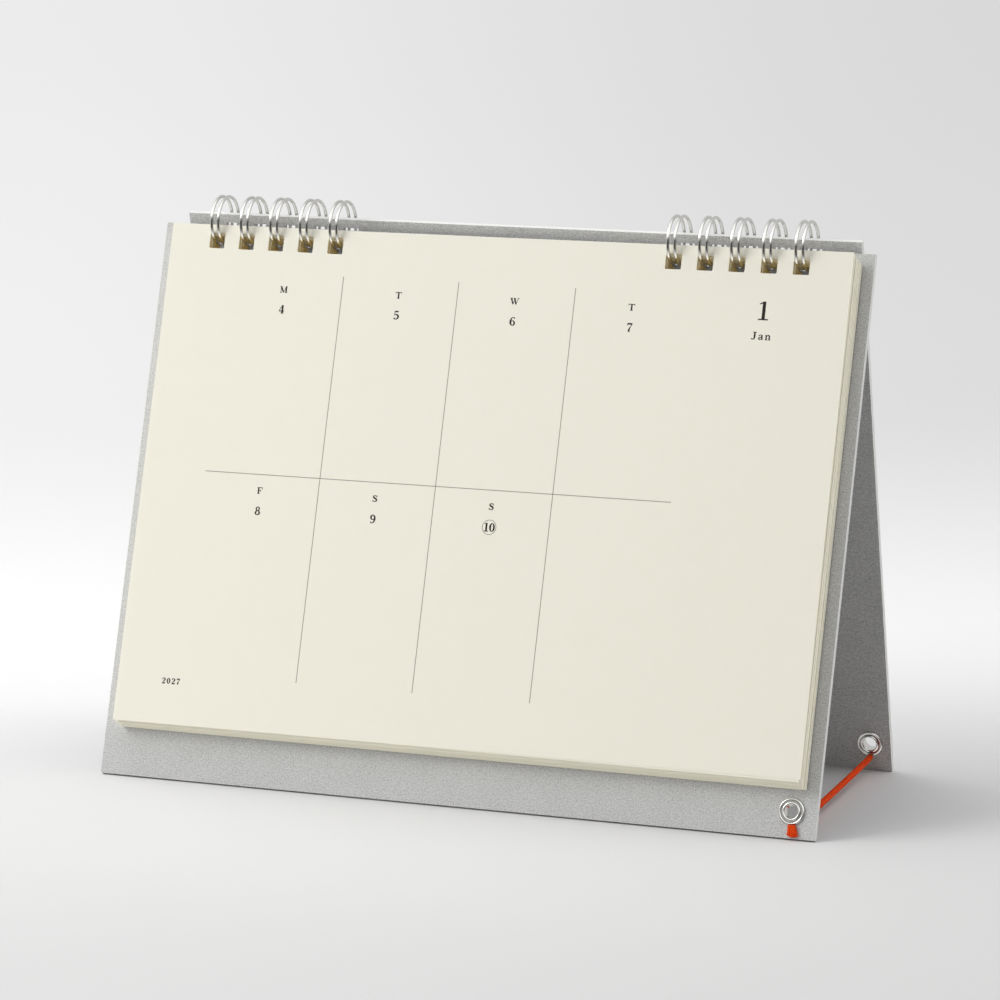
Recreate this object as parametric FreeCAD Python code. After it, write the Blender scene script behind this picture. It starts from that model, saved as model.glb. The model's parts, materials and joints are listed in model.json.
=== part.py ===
import FreeCAD, Part
import math
import os

V = FreeCAD.Vector

# A desk calendar that stands as a tent: a front board and a back board hang on one line of
# twin-loop rings, a pad of pages hangs on the same rings in front, and a cord near the foot
# keeps the boards from sliding apart. Lengths are in millimetres and angles in degrees.
# The origin is on the floor under the middle. X runs along the width, Y runs backward, Z is up.

# Pages
PAGE_WIDTH = 187.5
PAGE_HOLE_MARGIN = 1.95
PAD_THICKNESS = 4.5
PAD_GAP = 0.3
HANGING_CLEARANCE = 0.2

# Boards: how far the front board shows past the pages at each side and below the top sheet, and
# how far the back board stays inside them
FRONT_SIDE_MARGIN = 4.05
FRONT_BARE_STRIP = 14.1
BACK_SIDE_INSET = 0.65
BOARD_LENGTH = 146.5
BOARD_THICKNESS = 1.6
FRONT_LEAN = 17.35

# Where the boards hang, measured from the rings' centre: behind it along the board's normal,
# and up or down along the board
FRONT_FACE_BEHIND_RINGS = 0.66
FRONT_TOP_BELOW_RINGS = 1.06
BACK_FACE_BEHIND_RINGS = 3.8
BACK_TOP_ABOVE_RINGS = 0.4

# Punched holes: square, on the binding machine's pitch of three to the inch, in one group at
# each end of the pages
HOLE_PITCH = 25.4 / 3
HOLE_SIDE = 4.3
HOLE_FROM_PAGE_END = 13.317
BOARD_HOLE_MARGIN = 2.3
LOOPS_IN_A_WIRE = 5

# Twin-loop wires
RING_RADIUS = 6.3
WIRE_DIAMETER = 0.85
TWIN_SPACING = 1.9
TWIN_SHIFT = -0.39
LINK_BEND_RADIUS = 1.0
LINK_ANGLE = -6.0
TIP_ANGLE = 13.5
WIRE_END_STUB = 0.8

# Eyelets, each a flanged tube with its end rolled over a washer
EYELET_BORE = 3.4
EYELET_WALL = 0.35
EYELET_HOLE_CLEARANCE = 0.05
FLANGE_DIAMETER = 6.6
FLANGE_HEIGHT = 0.5
FLANGE_ROUNDING = 1.0
MOUTH_ROUNDING = 0.35
WASHER_DIAMETER = 6.8
WASHER_THICKNESS = 0.3
WASHER_RIM_HEIGHT = 0.6
WASHER_RIM_WIDTH = 0.7
WASHER_CLEARANCE = 0.07
COLLAR_DIAMETER = 4.84
COLLAR_SIDE_HEIGHT = 0.15
FRONT_EYELET_FROM_EDGE = 6.56
FRONT_EYELET_UP = 6.65
BACK_EYELET_FROM_EDGE = 5.5
BACK_EYELET_UP = 7.85

# Cord: where it leaves each eyelet's rim, as distances below the rim and away from the board,
# and the flat end that is left sticking out on the other side
CORD_DIAMETER = 1.7
CORD_START_BELOW_RIM = 0.25
CORD_START_OFF_BOARD = 0.7
CORD_TURN_BELOW_RIM = 0.4
CORD_TURN_OFF_BOARD = 2.4
CORD_BEND_SHARE = 0.45
CORD_END_WIDTH = 1.9
CORD_END_FLARE = 3.0
CORD_END_LENGTH = 3.1
CORD_END_NOTCH = 0.4
CORD_END_THICKNESS = 1.2
CORD_END_CLEARANCE = 0.03

# How far a cutter runs past each face, and where the middle of a quarter turn lies on its two radii
CUT_OVERRUN = 0.1
EIGHTH_TURN = math.sqrt(0.5)

# Worked out from the sizes above, in the rings' own coordinates
WIRE_RADIUS = WIRE_DIAMETER / 2
FRONT_WIDTH = PAGE_WIDTH + 2 * FRONT_SIDE_MARGIN
BACK_WIDTH = PAGE_WIDTH - 2 * BACK_SIDE_INSET
BACK_OF_FRONT_BOARD = FRONT_FACE_BEHIND_RINGS + BOARD_THICKNESS
BACK_OF_BACK_BOARD = BACK_FACE_BEHIND_RINGS + BOARD_THICKNESS
FRONT_TOP = -FRONT_TOP_BELOW_RINGS
FRONT_BOTTOM = FRONT_TOP - BOARD_LENGTH
BACK_TOP = BACK_TOP_ABOVE_RINGS
BACK_BOTTOM = BACK_TOP - BOARD_LENGTH
PAD_BACK = FRONT_FACE_BEHIND_RINGS - PAD_GAP
PAD_FRONT = PAD_BACK - PAD_THICKNESS
HANGING_RADIUS = RING_RADIUS - WIRE_RADIUS - HANGING_CLEARANCE
FRONT_EYELET_X = FRONT_WIDTH / 2 - FRONT_EYELET_FROM_EDGE
FRONT_EYELET_Z = FRONT_BOTTOM + FRONT_EYELET_UP
BACK_EYELET_X = BACK_WIDTH / 2 - BACK_EYELET_FROM_EDGE
BACK_EYELET_Z = BACK_BOTTOM + BACK_EYELET_UP

# The front board stands on the lower edge of its rear face, which gives the rings' height, and
# the back board leans so that the lower edge of its inner face meets the same floor
LEAN = math.radians(FRONT_LEAN)
RING_HEIGHT = -FRONT_BOTTOM * math.cos(LEAN) + BACK_OF_FRONT_BOARD * math.sin(LEAN)
BACK_REACH = math.hypot(BACK_BOTTOM, BACK_FACE_BEHIND_RINGS)
BACK_SLOPE = math.acos(RING_HEIGHT / BACK_REACH) - math.atan2(BACK_FACE_BEHIND_RINGS, -BACK_BOTTOM)
BACK_LEAN = math.degrees(BACK_SLOPE)


def hanging_height(behind):
    """Height of a page's hole top, for a page this far behind the rings' centre."""
    return -math.sqrt(HANGING_RADIUS ** 2 - behind ** 2)


TOP_SHEET_TOP = hanging_height(PAD_FRONT) + PAGE_HOLE_MARGIN
TOP_SHEET_BOTTOM = FRONT_BOTTOM + FRONT_BARE_STRIP
PAGE_HEIGHT = TOP_SHEET_TOP - TOP_SHEET_BOTTOM


def turned(point, angle):
    """A point in the rings' coordinates, turned about the rings' centre line."""
    return FreeCAD.Rotation(V(1, 0, 0), angle).multVec(point)


def ring_place():
    """The rings' centre line, which puts the foot's front and back reach on both sides of Y 0."""
    pad_reach = turned(V(0, PAD_FRONT, TOP_SHEET_BOTTOM), -FRONT_LEAN).y
    board_reach = turned(V(0, FRONT_FACE_BEHIND_RINGS, FRONT_BOTTOM), -FRONT_LEAN).y
    back_reach = turned(V(0, BACK_OF_BACK_BOARD, BACK_BOTTOM), BACK_LEAN).y
    return V(0, -(min(pad_reach, board_reach) + back_reach) / 2, RING_HEIGHT)


RING_CENTRE = ring_place()


def placed(shape, angle):
    """A shape in the rings' coordinates, leaned by the angle and moved to its place."""
    result = shape.copy()
    result.rotate(V(0, 0, 0), V(1, 0, 0), angle)
    result.translate(RING_CENTRE)
    return result


def placed_point(x, behind, along, angle):
    return turned(V(x, behind, along), angle) + RING_CENTRE


def hole_centres():
    """X of each punched hole, from left to right: the left group and the right group."""
    inward = [PAGE_WIDTH / 2 - HOLE_FROM_PAGE_END - HOLE_PITCH * i for i in range(LOOPS_IN_A_WIRE)]
    return [[-x for x in inward], inward[::-1]]


def board(width, face, top, eyelet_x, eyelet_z):
    """A board with its punched holes and the hole for its eyelet."""
    solid = Part.makeBox(width, BOARD_THICKNESS, BOARD_LENGTH, V(-width / 2, face, top - BOARD_LENGTH))
    near = face - CUT_OVERRUN
    depth = BOARD_THICKNESS + 2 * CUT_OVERRUN
    cutters = []
    for x in sum(hole_centres(), []):
        corner = V(x - HOLE_SIDE / 2, near, top - BOARD_HOLE_MARGIN - HOLE_SIDE)
        cutters.append(Part.makeBox(HOLE_SIDE, depth, HOLE_SIDE, corner))
    radius = EYELET_BORE / 2 + EYELET_WALL + EYELET_HOLE_CLEARANCE
    cutters.append(Part.makeCylinder(radius, depth, V(eyelet_x, near, eyelet_z), V(0, 1, 0)))
    return solid.cut(cutters)


def slanted_block(x, width, near, far, rise, height):
    """A block whose ends follow the arc that the sheets hang on, cut across from near to far."""
    middle = (near + far) / 2
    upper = [V(x, n, hanging_height(n) + rise) for n in (near, middle, far)]
    lower = [p - V(0, 0, height) for p in upper]
    edges = [
        Part.Arc(*upper).toShape(),
        Part.LineSegment(upper[2], lower[2]).toShape(),
        Part.Arc(lower[2], lower[1], lower[0]).toShape(),
        Part.LineSegment(lower[0], upper[0]).toShape(),
    ]
    return Part.Face(Part.Wire(edges)).extrude(V(width, 0, 0))


def page_pad():
    """All the pages as one block: each sheet hangs by its hole tops on the round wires."""
    pad = slanted_block(-PAGE_WIDTH / 2, PAGE_WIDTH, PAD_FRONT, PAD_BACK, PAGE_HOLE_MARGIN, PAGE_HEIGHT)
    near = PAD_FRONT - CUT_OVERRUN
    far = PAD_BACK + CUT_OVERRUN
    holes = [
        slanted_block(x - HOLE_SIDE / 2, HOLE_SIDE, near, far, 0, HOLE_SIDE)
        for x in sum(hole_centres(), [])
    ]
    return pad.cut(holes)


def ring_point(x, angle):
    a = math.radians(angle)
    return V(x, RING_RADIUS * math.cos(a), RING_RADIUS * math.sin(a))


def ring_heading(angle):
    """The way the wire runs at that angle as it goes round by the foot side."""
    a = math.radians(angle)
    return V(0, math.sin(a), -math.cos(a))


def ring_arc(x, start, end):
    points = [ring_point(x, a) for a in (start, (start + end) / 2, end)]
    return Part.Arc(*points).toShape()


def quarter_bend(x, side):
    """From the link behind the rings into a ring: side -1 for a loop's first ring, +1 for its last."""
    ring = ring_point(x, LINK_ANGLE)
    back = ring_heading(LINK_ANGLE) * -LINK_BEND_RADIUS
    centre = ring + V(side * LINK_BEND_RADIUS, 0, 0)
    spoke = V(-side * LINK_BEND_RADIUS, 0, 0)
    middle = centre + (spoke + back) * EIGHTH_TURN
    return ring, middle, centre + back


def twin_wire(centres):
    """One wire bent to a row of double rings, each closed by its rounded tip beside the links."""
    tip = TIP_ANGLE - 360
    edges = []
    joint = None
    for x in centres:
        first = x + TWIN_SHIFT - TWIN_SPACING / 2
        last = first + TWIN_SPACING
        ring, middle, link = quarter_bend(first, -1)
        joint = joint or link - V(WIRE_END_STUB, 0, 0)
        edges.append(Part.LineSegment(joint, link).toShape())
        edges.append(Part.Arc(link, middle, ring).toShape())
        edges.append(ring_arc(first, LINK_ANGLE, tip))
        crown = ring_point(first + TWIN_SPACING / 2, tip) + ring_heading(tip) * (TWIN_SPACING / 2)
        edges.append(Part.Arc(ring_point(first, tip), crown, ring_point(last, tip)).toShape())
        edges.append(ring_arc(last, tip, LINK_ANGLE))
        ring, middle, link = quarter_bend(last, 1)
        edges.append(Part.Arc(ring, middle, link).toShape())
        joint = link
    edges.append(Part.LineSegment(joint, joint + V(WIRE_END_STUB, 0, 0)).toShape())
    return tube(edges, WIRE_RADIUS)


def tube(edges, radius):
    """A round solid along tangent lines and arcs."""
    path = Part.Wire(edges)
    first = edges[0]
    start = first.valueAt(first.FirstParameter)
    heading = first.tangentAt(first.FirstParameter)
    ring = Part.Wire([Part.makeCircle(radius, start, heading)])
    solid = path.makePipeShell([ring], True, False)
    expected = math.pi * radius ** 2 * path.Length
    print("tube: length %.2f, volume %.2f, section times length %.2f" % (path.Length, solid.Volume, expected))
    return solid


def revolved(outline, x, face, along):
    """A ring turned round an eyelet's axis. Each step of its outline, in radii and heights off the
    face, is the end of a line, or the middle and the end of an arc."""
    edges = []
    here = outline[0][0]
    for step in outline[1:] + outline[:1]:
        points = [V(radius, face - height, 0) for radius, height in [here] + step]
        curve = Part.Arc(*points) if len(points) == 3 else Part.LineSegment(*points)
        edges.append(curve.toShape())
        here = step[-1]
    ring = Part.Face(Part.Wire(edges)).revolve(V(0, 0, 0), V(0, 1, 0), 360)
    ring.translate(V(x, 0, along))
    return ring


def eyelet(x, face, along):
    """The flanged tube: a domed flange on the far face, and a collar rolled over the washer."""
    bore = EYELET_BORE / 2
    tube_radius = bore + EYELET_WALL
    collar = COLLAR_DIAMETER / 2
    bead = (collar - bore) / 2
    crown = WASHER_THICKNESS + COLLAR_SIDE_HEIGHT
    flange = FLANGE_DIAMETER / 2
    far = -BOARD_THICKNESS
    top = far - FLANGE_HEIGHT
    shoulder = far - EIGHTH_TURN * FLANGE_HEIGHT
    outline = [
        [(bore, crown)],
        [((bore + collar) / 2, crown + bead), (collar, crown)],
        [(collar, WASHER_THICKNESS)],
        [(tube_radius, WASHER_THICKNESS)],
        [(tube_radius, far)],
        [(flange, far)],
        [(flange - (1 - EIGHTH_TURN) * FLANGE_ROUNDING, shoulder), (flange - FLANGE_ROUNDING, top)],
        [(bore + MOUTH_ROUNDING, top)],
        [(bore + (1 - EIGHTH_TURN) * MOUTH_ROUNDING, shoulder), (bore, far)],
    ]
    return revolved(outline, x, face, along)


def washer(x, face, along):
    """The washer under the collar, with a raised round rim."""
    inner = EYELET_BORE / 2 + EYELET_WALL + WASHER_CLEARANCE
    outer = WASHER_DIAMETER / 2
    groove = outer - WASHER_RIM_WIDTH
    outline = [
        [(inner, 0)],
        [(outer, 0)],
        [(outer, WASHER_THICKNESS / 2)],
        [(outer - WASHER_RIM_WIDTH / 2, WASHER_RIM_HEIGHT), (groove, WASHER_THICKNESS)],
        [(inner, WASHER_THICKNESS)],
    ]
    return revolved(outline, x, face, along)


def cord_end(x, face, along, rim, side):
    """The cord's flat cut end, from under an eyelet's rim down the board, flared at its tip."""
    half = CORD_END_WIDTH / 2
    flare = CORD_END_FLARE / 2
    start = rim + CORD_END_CLEARANCE
    shoulder = math.sqrt(start ** 2 - half ** 2)
    tip = rim + CORD_END_LENGTH
    lobe = tip - CORD_END_NOTCH
    neck = (shoulder + lobe) / 2

    def at(across, down):
        return V(x + across, face, along - down)

    edges = [
        Part.Arc(at(-half, shoulder), at(0, start), at(half, shoulder)).toShape(),
        Part.LineSegment(at(half, shoulder), at(half, neck)).toShape(),
        Part.LineSegment(at(half, neck), at(flare, lobe)).toShape(),
        Part.Arc(at(flare, lobe), at(flare / 2, tip), at(0, lobe)).toShape(),
        Part.Arc(at(0, lobe), at(-flare / 2, tip), at(-flare, lobe)).toShape(),
        Part.LineSegment(at(-flare, lobe), at(-half, neck)).toShape(),
        Part.LineSegment(at(-half, neck), at(-half, shoulder)).toShape(),
    ]
    return Part.Face(Part.Wire(edges)).extrude(V(0, side * CORD_END_THICKNESS, 0))


def cord_route():
    """The cord's points, from the front eyelet's rim to the back eyelet's rim."""
    front_rim = FRONT_EYELET_Z - FLANGE_DIAMETER / 2
    back_rim = BACK_EYELET_Z - WASHER_DIAMETER / 2
    steps = [
        (CORD_START_BELOW_RIM, CORD_START_OFF_BOARD),
        (CORD_TURN_BELOW_RIM, CORD_TURN_OFF_BOARD),
    ]
    front = [
        placed_point(FRONT_EYELET_X, BACK_OF_FRONT_BOARD + off, front_rim - below, -FRONT_LEAN)
        for below, off in steps
    ]
    back = [
        placed_point(BACK_EYELET_X, BACK_FACE_BEHIND_RINGS - off, back_rim - below, BACK_LEAN)
        for below, off in reversed(steps)
    ]
    return front + back


def cord():
    """A tube of straight runs joined by tangent arcs."""
    points = cord_route()
    edges = []
    here = points[0]
    for before, corner, after in zip(points, points[1:], points[2:]):
        arriving = (corner - before).normalize()
        leaving = (after - corner).normalize()
        turn = arriving.getAngle(leaving)
        cut = CORD_BEND_SHARE * min(corner.distanceToPoint(before), corner.distanceToPoint(after))
        radius = cut / math.tan(turn / 2)
        print("cord bend: turn %.1f degrees, radius %.2f" % (math.degrees(turn), radius))
        entry = corner - arriving * cut
        exit_ = corner + leaving * cut
        inward = (leaving - arriving).normalize()
        middle = corner + inward * (radius / math.cos(turn / 2) - radius)
        edges.append(Part.LineSegment(here, entry).toShape())
        edges.append(Part.Arc(entry, middle, exit_).toShape())
        here = exit_
    edges.append(Part.LineSegment(here, points[-1]).toShape())
    print("cord points in metres:", [tuple(round(c / 1000, 5) for c in p) for p in points])
    return tube(edges, CORD_DIAMETER / 2)


def front_pieces():
    """What leans back with the front board."""
    place = (FRONT_EYELET_X, FRONT_FACE_BEHIND_RINGS, FRONT_EYELET_Z)
    pieces = {
        "front_board": board(
            FRONT_WIDTH, FRONT_FACE_BEHIND_RINGS, FRONT_TOP, FRONT_EYELET_X, FRONT_EYELET_Z
        ),
        "page_pad": page_pad(),
        "front_eyelet": eyelet(*place),
        "front_eyelet_washer": washer(*place),
        "cord_front_end": cord_end(*place, WASHER_DIAMETER / 2, -1),
    }
    return {name: placed(shape, -FRONT_LEAN) for name, shape in pieces.items()}


def back_pieces():
    """What leans forward with the back board."""
    place = (BACK_EYELET_X, BACK_FACE_BEHIND_RINGS, BACK_EYELET_Z)
    far_face = (BACK_EYELET_X, BACK_OF_BACK_BOARD, BACK_EYELET_Z)
    pieces = {
        "back_board": board(
            BACK_WIDTH, BACK_FACE_BEHIND_RINGS, BACK_TOP, BACK_EYELET_X, BACK_EYELET_Z
        ),
        "back_eyelet": eyelet(*place),
        "back_eyelet_washer": washer(*place),
        "cord_back_end": cord_end(*far_face, FLANGE_DIAMETER / 2, 1),
    }
    return {name: placed(shape, BACK_LEAN) for name, shape in pieces.items()}


def ring_pieces():
    """The two wires, which stand level whatever the boards do."""
    wires = [placed(twin_wire(centres), 0) for centres in hole_centres()]
    return dict(zip(("wire_left", "wire_right"), wires))


def main():
    os.makedirs("parts", exist_ok=True)
    pieces = {**front_pieces(), **back_pieces(), **ring_pieces(), "cord": cord()}
    for name, shape in pieces.items():
        print("%s: %d solid, valid %s, volume %.2f" % (name, len(shape.Solids), shape.isValid(), shape.Volume))
        shape.exportStep("parts/%s.step" % name)
    print("ring centre", RING_CENTRE, "back lean", BACK_LEAN)


main()
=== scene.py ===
"""Looks of a desk calendar that stands as a tent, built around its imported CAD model.

A pad of pages and two punched boards hang on two twin-loop wires, and a cord near the foot keeps
the boards from sliding apart. Sizes are in millimetres unless a name says otherwise. Most pieces
are built in the rings' own coordinates: x to the right, n behind the rings' centre line along a
board's normal, and a up along the board.
"""

import functools
import json
import logging
import math
from dataclasses import dataclass, field
from enum import Enum
from typing import Any, Optional, Sequence

import bmesh
import bpy
from mathutils import Matrix, Vector


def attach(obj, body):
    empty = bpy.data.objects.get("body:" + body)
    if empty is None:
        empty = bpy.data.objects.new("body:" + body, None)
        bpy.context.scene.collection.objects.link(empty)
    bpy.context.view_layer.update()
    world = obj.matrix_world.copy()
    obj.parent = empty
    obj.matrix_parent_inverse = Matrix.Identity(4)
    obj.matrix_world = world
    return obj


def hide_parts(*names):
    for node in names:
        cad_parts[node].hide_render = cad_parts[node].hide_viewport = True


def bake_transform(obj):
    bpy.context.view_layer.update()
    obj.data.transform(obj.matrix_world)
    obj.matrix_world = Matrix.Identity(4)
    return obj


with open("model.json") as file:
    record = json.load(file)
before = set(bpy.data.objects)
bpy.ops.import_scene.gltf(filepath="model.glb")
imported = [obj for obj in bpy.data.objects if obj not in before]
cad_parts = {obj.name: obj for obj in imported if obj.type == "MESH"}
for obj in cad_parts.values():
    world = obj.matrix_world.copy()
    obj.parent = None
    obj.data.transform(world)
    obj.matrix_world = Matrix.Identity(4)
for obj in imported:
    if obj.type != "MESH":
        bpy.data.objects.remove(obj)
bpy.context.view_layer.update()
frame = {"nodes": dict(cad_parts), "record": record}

LOG = logging.getLogger("desk_calendar")
MM = 0.001
RING_LINE = Vector(frame["record"]["behaviour"]["joints"][0]["pos_m"])

Point = tuple[float, float, float]
Spot = tuple[float, float]
Stroke = Sequence[Point]


class Body(Enum):
    """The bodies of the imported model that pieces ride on."""

    FRONT = "stand_front"
    BACK = "stand_back"
    PAGES = "pages"


class Side(Enum):
    """Which end of the hole row a wire sits at."""

    LEFT = -1
    RIGHT = 1


@dataclass(frozen=True)
class Slope:
    """The coordinates along one leaning board.

    Attributes:
        turn_deg: turn about the X axis that leans the board from upright.
    """

    turn_deg: float

    def matrix(self) -> Matrix:
        """Gives the move from board coordinates in metres to the row frame."""
        return Matrix.Translation(RING_LINE) @ Matrix.Rotation(math.radians(self.turn_deg), 4, "X")

    def point(self, x: float, n: float, a: float) -> Vector:
        """Places a point.

        Args:
            x: millimetres to the right.
            n: millimetres behind the rings' centre line.
            a: millimetres up along the board.

        Returns:
            The point in the row frame, in metres.
        """
        return self.matrix() @ (Vector((x, n, a)) * MM)


FRONT_SLOPE = Slope(-17.35)
BACK_SLOPE = Slope(12.969486884165837)
LEVEL = Slope(0.0)


@dataclass(frozen=True)
class Punching:
    """The square holes, on the binding machine's pitch of three to the inch."""

    pitch: float = 25.4 / 3
    side: float = 4.3
    first: float = 80.433
    loops: int = 5


@dataclass(frozen=True)
class Stack:
    """The pad of pages, as it hangs on the wires in front of the front board."""

    width: float = 187.5
    front: float = -4.14
    back: float = 0.36
    bottom: float = -133.46
    hole_margin: float = 1.95
    hanging_radius: float = 5.675

    def hanging_height(self, behind: float) -> float:
        """Gives the height of a page's hole top.

        Args:
            behind: the page's place behind the rings' centre line.

        Returns:
            The height along the board, below the rings' centre line.
        """
        return -math.sqrt(self.hanging_radius**2 - behind**2)


@dataclass(frozen=True)
class Boards:
    """The boards' thickness, and how far each one's front face is behind the rings' line."""

    thickness: float = 1.6
    front_face: float = 0.66
    back_face: float = 3.8


PUNCHING = Punching()
STACK = Stack()
BOARDS = Boards()


@dataclass(frozen=True)
class EyeletPlace:
    """An eyelet's place on its board.

    Attributes:
        side: front or back, as the piece's name says.
        body: the body that it rides on.
        slope: the board's coordinates.
        x: its place along the board.
        face: the board's front face.
        along: its height, from the rings' line.
    """

    side: str
    body: Body
    slope: Slope
    x: float
    face: float
    along: float


FRONT_EYELET = EyeletPlace("front", Body.FRONT, FRONT_SLOPE, 91.24, BOARDS.front_face, -140.91)
BACK_EYELET = EyeletPlace("back", Body.BACK, BACK_SLOPE, 87.6, BOARDS.back_face, -138.25)


# Small tools


def linear(colour: str) -> tuple[float, float, float, float]:
    """Turns an sRGB hex colour into linear light.

    Args:
        colour: such as "#F4F1E4".

    Returns:
        Red, green, blue and an alpha of 1.
    """
    parts = [int(colour[i : i + 2], 16) / 255 for i in (1, 3, 5)]
    red, green, blue = [c / 12.92 if c <= 0.04045 else ((c + 0.055) / 1.055) ** 2.4 for c in parts]
    return red, green, blue, 1.0


def add_node(
    tree: bpy.types.NodeTree, kind: str, inputs: Optional[dict[Any, Any]] = None, **settings: Any
) -> Any:
    """Adds a node with its settings, values and links.

    Args:
        tree: the tree that gets the node.
        kind: the node's type name.
        inputs: for a socket's name or place, a value, or an output socket to link.
        **settings: the node's own properties.

    Returns:
        The new node.
    """
    node = tree.nodes.new(kind)
    for name, value in settings.items():
        setattr(node, name, value)
    for key, value in (inputs or {}).items():
        links = value if isinstance(value, list) else [value]
        for item in links:
            if isinstance(item, bpy.types.NodeSocket):
                tree.links.new(item, node.inputs[key])
            else:
                node.inputs[key].default_value = item
    return node


def calc(add: Any, operation: str, *values: Any) -> Any:
    """Adds a sum of numbers.

    Args:
        add: add_node bound to the tree.
        operation: such as MULTIPLY.
        *values: numbers, or output sockets to link.

    Returns:
        The output with the result.
    """
    return add("ShaderNodeMath", dict(enumerate(values)), operation=operation).outputs[0]


def vector(add: Any, **parts: Any) -> Any:
    """Adds a vector of X, Y and Z parts, where a part that isn't given is 0."""
    return add("ShaderNodeCombineXYZ", parts).outputs[0]


def mix_tones(add: Any, share: Any, first: Any, second: Any) -> Any:
    """Adds a mix of two colours, where a share of 1 is the second."""
    return add("ShaderNodeMix", {"Factor": share, 6: first, 7: second}, data_type="RGBA").outputs[2]


def mix_levels(add: Any, share: Any, first: Any, second: Any) -> Any:
    """Adds a mix of two numbers, where a share of 1 is the second."""
    return add("ShaderNodeMix", {"Factor": share, 2: first, 3: second}).outputs[0]


def noise(add: Any, place: Any, size: float, detail: float = 2.0) -> Any:
    """Adds a cloudy pattern from 0 to 1, whose patches are about as large as size."""
    inputs = {"Vector": place, "Scale": 1 / size, "Detail": detail}
    return add("ShaderNodeTexNoise", inputs).outputs["Fac"]


def spread(
    add: Any,
    value: Any,
    given: tuple[float, float],
    wanted: tuple[float, float] = (0.0, 1.0),
    smooth: bool = False,
) -> Any:
    """Adds a change from one range of numbers to another.

    Args:
        add: add_node bound to the tree.
        value: the output with the number.
        given: the numbers that become the first and the last wanted one.
        wanted: the result's first and last number, which it doesn't pass.
        smooth: whether it starts and ends softly.

    Returns:
        The output with the result.
    """
    return add(
        "ShaderNodeMapRange",
        {
            "Value": value,
            "From Min": given[0],
            "From Max": given[1],
            "To Min": wanted[0],
            "To Max": wanted[1],
        },
        interpolation_type="SMOOTHSTEP" if smooth else "LINEAR",
    ).outputs[0]


def tone_ramp(
    add: Any, value: Any, places: tuple[float, float, float], tones: Sequence[str]
) -> Any:
    """Adds a ramp of three tones.

    Args:
        add: add_node bound to the tree.
        value: the output with the number that picks the tone.
        places: the number at which each tone is full, the lowest first.
        tones: the tones in the same order.

    Returns:
        The output with the colour.
    """
    ramp = add("ShaderNodeValToRGB", {"Fac": value})
    stops = ramp.color_ramp.elements
    stops[0].position, stops[0].color = places[0], linear(tones[0])
    stops[1].position, stops[1].color = places[2], linear(tones[2])
    stops.new(places[1]).color = linear(tones[1])
    return ramp.outputs["Color"]


def new_material(name: str) -> tuple[bpy.types.Material, Any]:
    """Starts a node material.

    Args:
        name: the material's name.

    Returns:
        The material, and add_node bound to its empty tree.
    """
    material = bpy.data.materials.new(name)
    material.use_nodes = True
    material.node_tree.nodes.clear()
    return material, functools.partial(add_node, material.node_tree)


def new_tree(name: str, sockets: dict[str, str]) -> tuple[bpy.types.NodeTree, Any, Any]:
    """Starts a Geometry Nodes tree.

    Args:
        name: the tree's name.
        sockets: each input's name and the end of its socket type, such as Float.

    Returns:
        The tree, add_node bound to it, and its group input node.
    """
    tree = bpy.data.node_groups.new(name, "GeometryNodeTree")
    tree.interface.new_socket(name="Geometry", in_out="OUTPUT", socket_type="NodeSocketGeometry")
    for label, kind in sockets.items():
        tree.interface.new_socket(name=label, in_out="INPUT", socket_type="NodeSocket" + kind)
    add = functools.partial(add_node, tree)
    return tree, add, add("NodeGroupInput")


def grown(
    name: str, tree: bpy.types.NodeTree, source: bpy.types.Mesh, values: dict[str, Any]
) -> bpy.types.Object:
    """Runs a Geometry Nodes tree once and keeps what it made as a plain mesh.

    Args:
        name: the new piece's name.
        tree: the tree to run.
        source: the mesh that the tree starts from.
        values: each input's name and value.

    Returns:
        The piece, with no modifier left on it.
    """
    carrier = bpy.data.objects.new(name + "_source", source)
    modifier = carrier.modifiers.new("grow", "NODES")
    modifier.node_group = tree
    for item in tree.interface.items_tree:
        if item.item_type == "SOCKET" and item.in_out == "INPUT" and item.name in values:
            modifier[item.identifier] = values[item.name]
    bpy.context.scene.collection.objects.link(carrier)
    graph = bpy.context.evaluated_depsgraph_get()
    mesh = bpy.data.meshes.new_from_object(carrier.evaluated_get(graph), depsgraph=graph)
    carrier.modifiers.remove(modifier)
    bpy.data.objects.remove(carrier)
    return place_piece(name, mesh, Matrix.Identity(4))


def place_piece(name: str, mesh: bpy.types.Mesh, matrix: Matrix) -> bpy.types.Object:
    """Moves a mesh to its place and gives it an object at the origin.

    Args:
        name: the piece's name.
        mesh: its mesh.
        matrix: the move from the mesh's coordinates to the row frame.

    Returns:
        The piece.
    """
    mesh.name = name
    mesh.transform(matrix)
    piece = bpy.data.objects.new(name, mesh)
    bpy.context.scene.collection.objects.link(piece)
    return piece


def lines_mesh(name: str, lines: Sequence[Sequence[Vector]]) -> bpy.types.Mesh:
    """Makes a mesh of edges along lines.

    Args:
        name: the mesh's name.
        lines: each line's points, in metres.

    Returns:
        The mesh.
    """
    points: list[Vector] = []
    edges: list[tuple[int, int]] = []
    for line in lines:
        start = len(points)
        points.extend(line)
        edges.extend((i, i + 1) for i in range(start, len(points) - 1))
    mesh = bpy.data.meshes.new(name)
    mesh.from_pydata(points, edges, [])
    return mesh


def report(piece: bpy.types.Object) -> None:
    """Logs a finished piece.

    Args:
        piece: the piece.
    """
    LOG.info("%s: %d faces", piece.name, len(piece.data.polygons))


def paint(piece: bpy.types.Object, material: bpy.types.Material) -> None:
    """Puts one material on a whole piece.

    Args:
        piece: the piece.
        material: its material.
    """
    if piece.material_slots:
        for slot in piece.material_slots:
            slot.material = material
    else:
        piece.data.materials.append(material)


# Finishes


class Yarn:
    """The attributes that a yarn carries for its fibre lines, and its section's number of sides."""

    ALONG = "yarn_along"
    AROUND = "yarn_around"
    SIDES = 7


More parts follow.
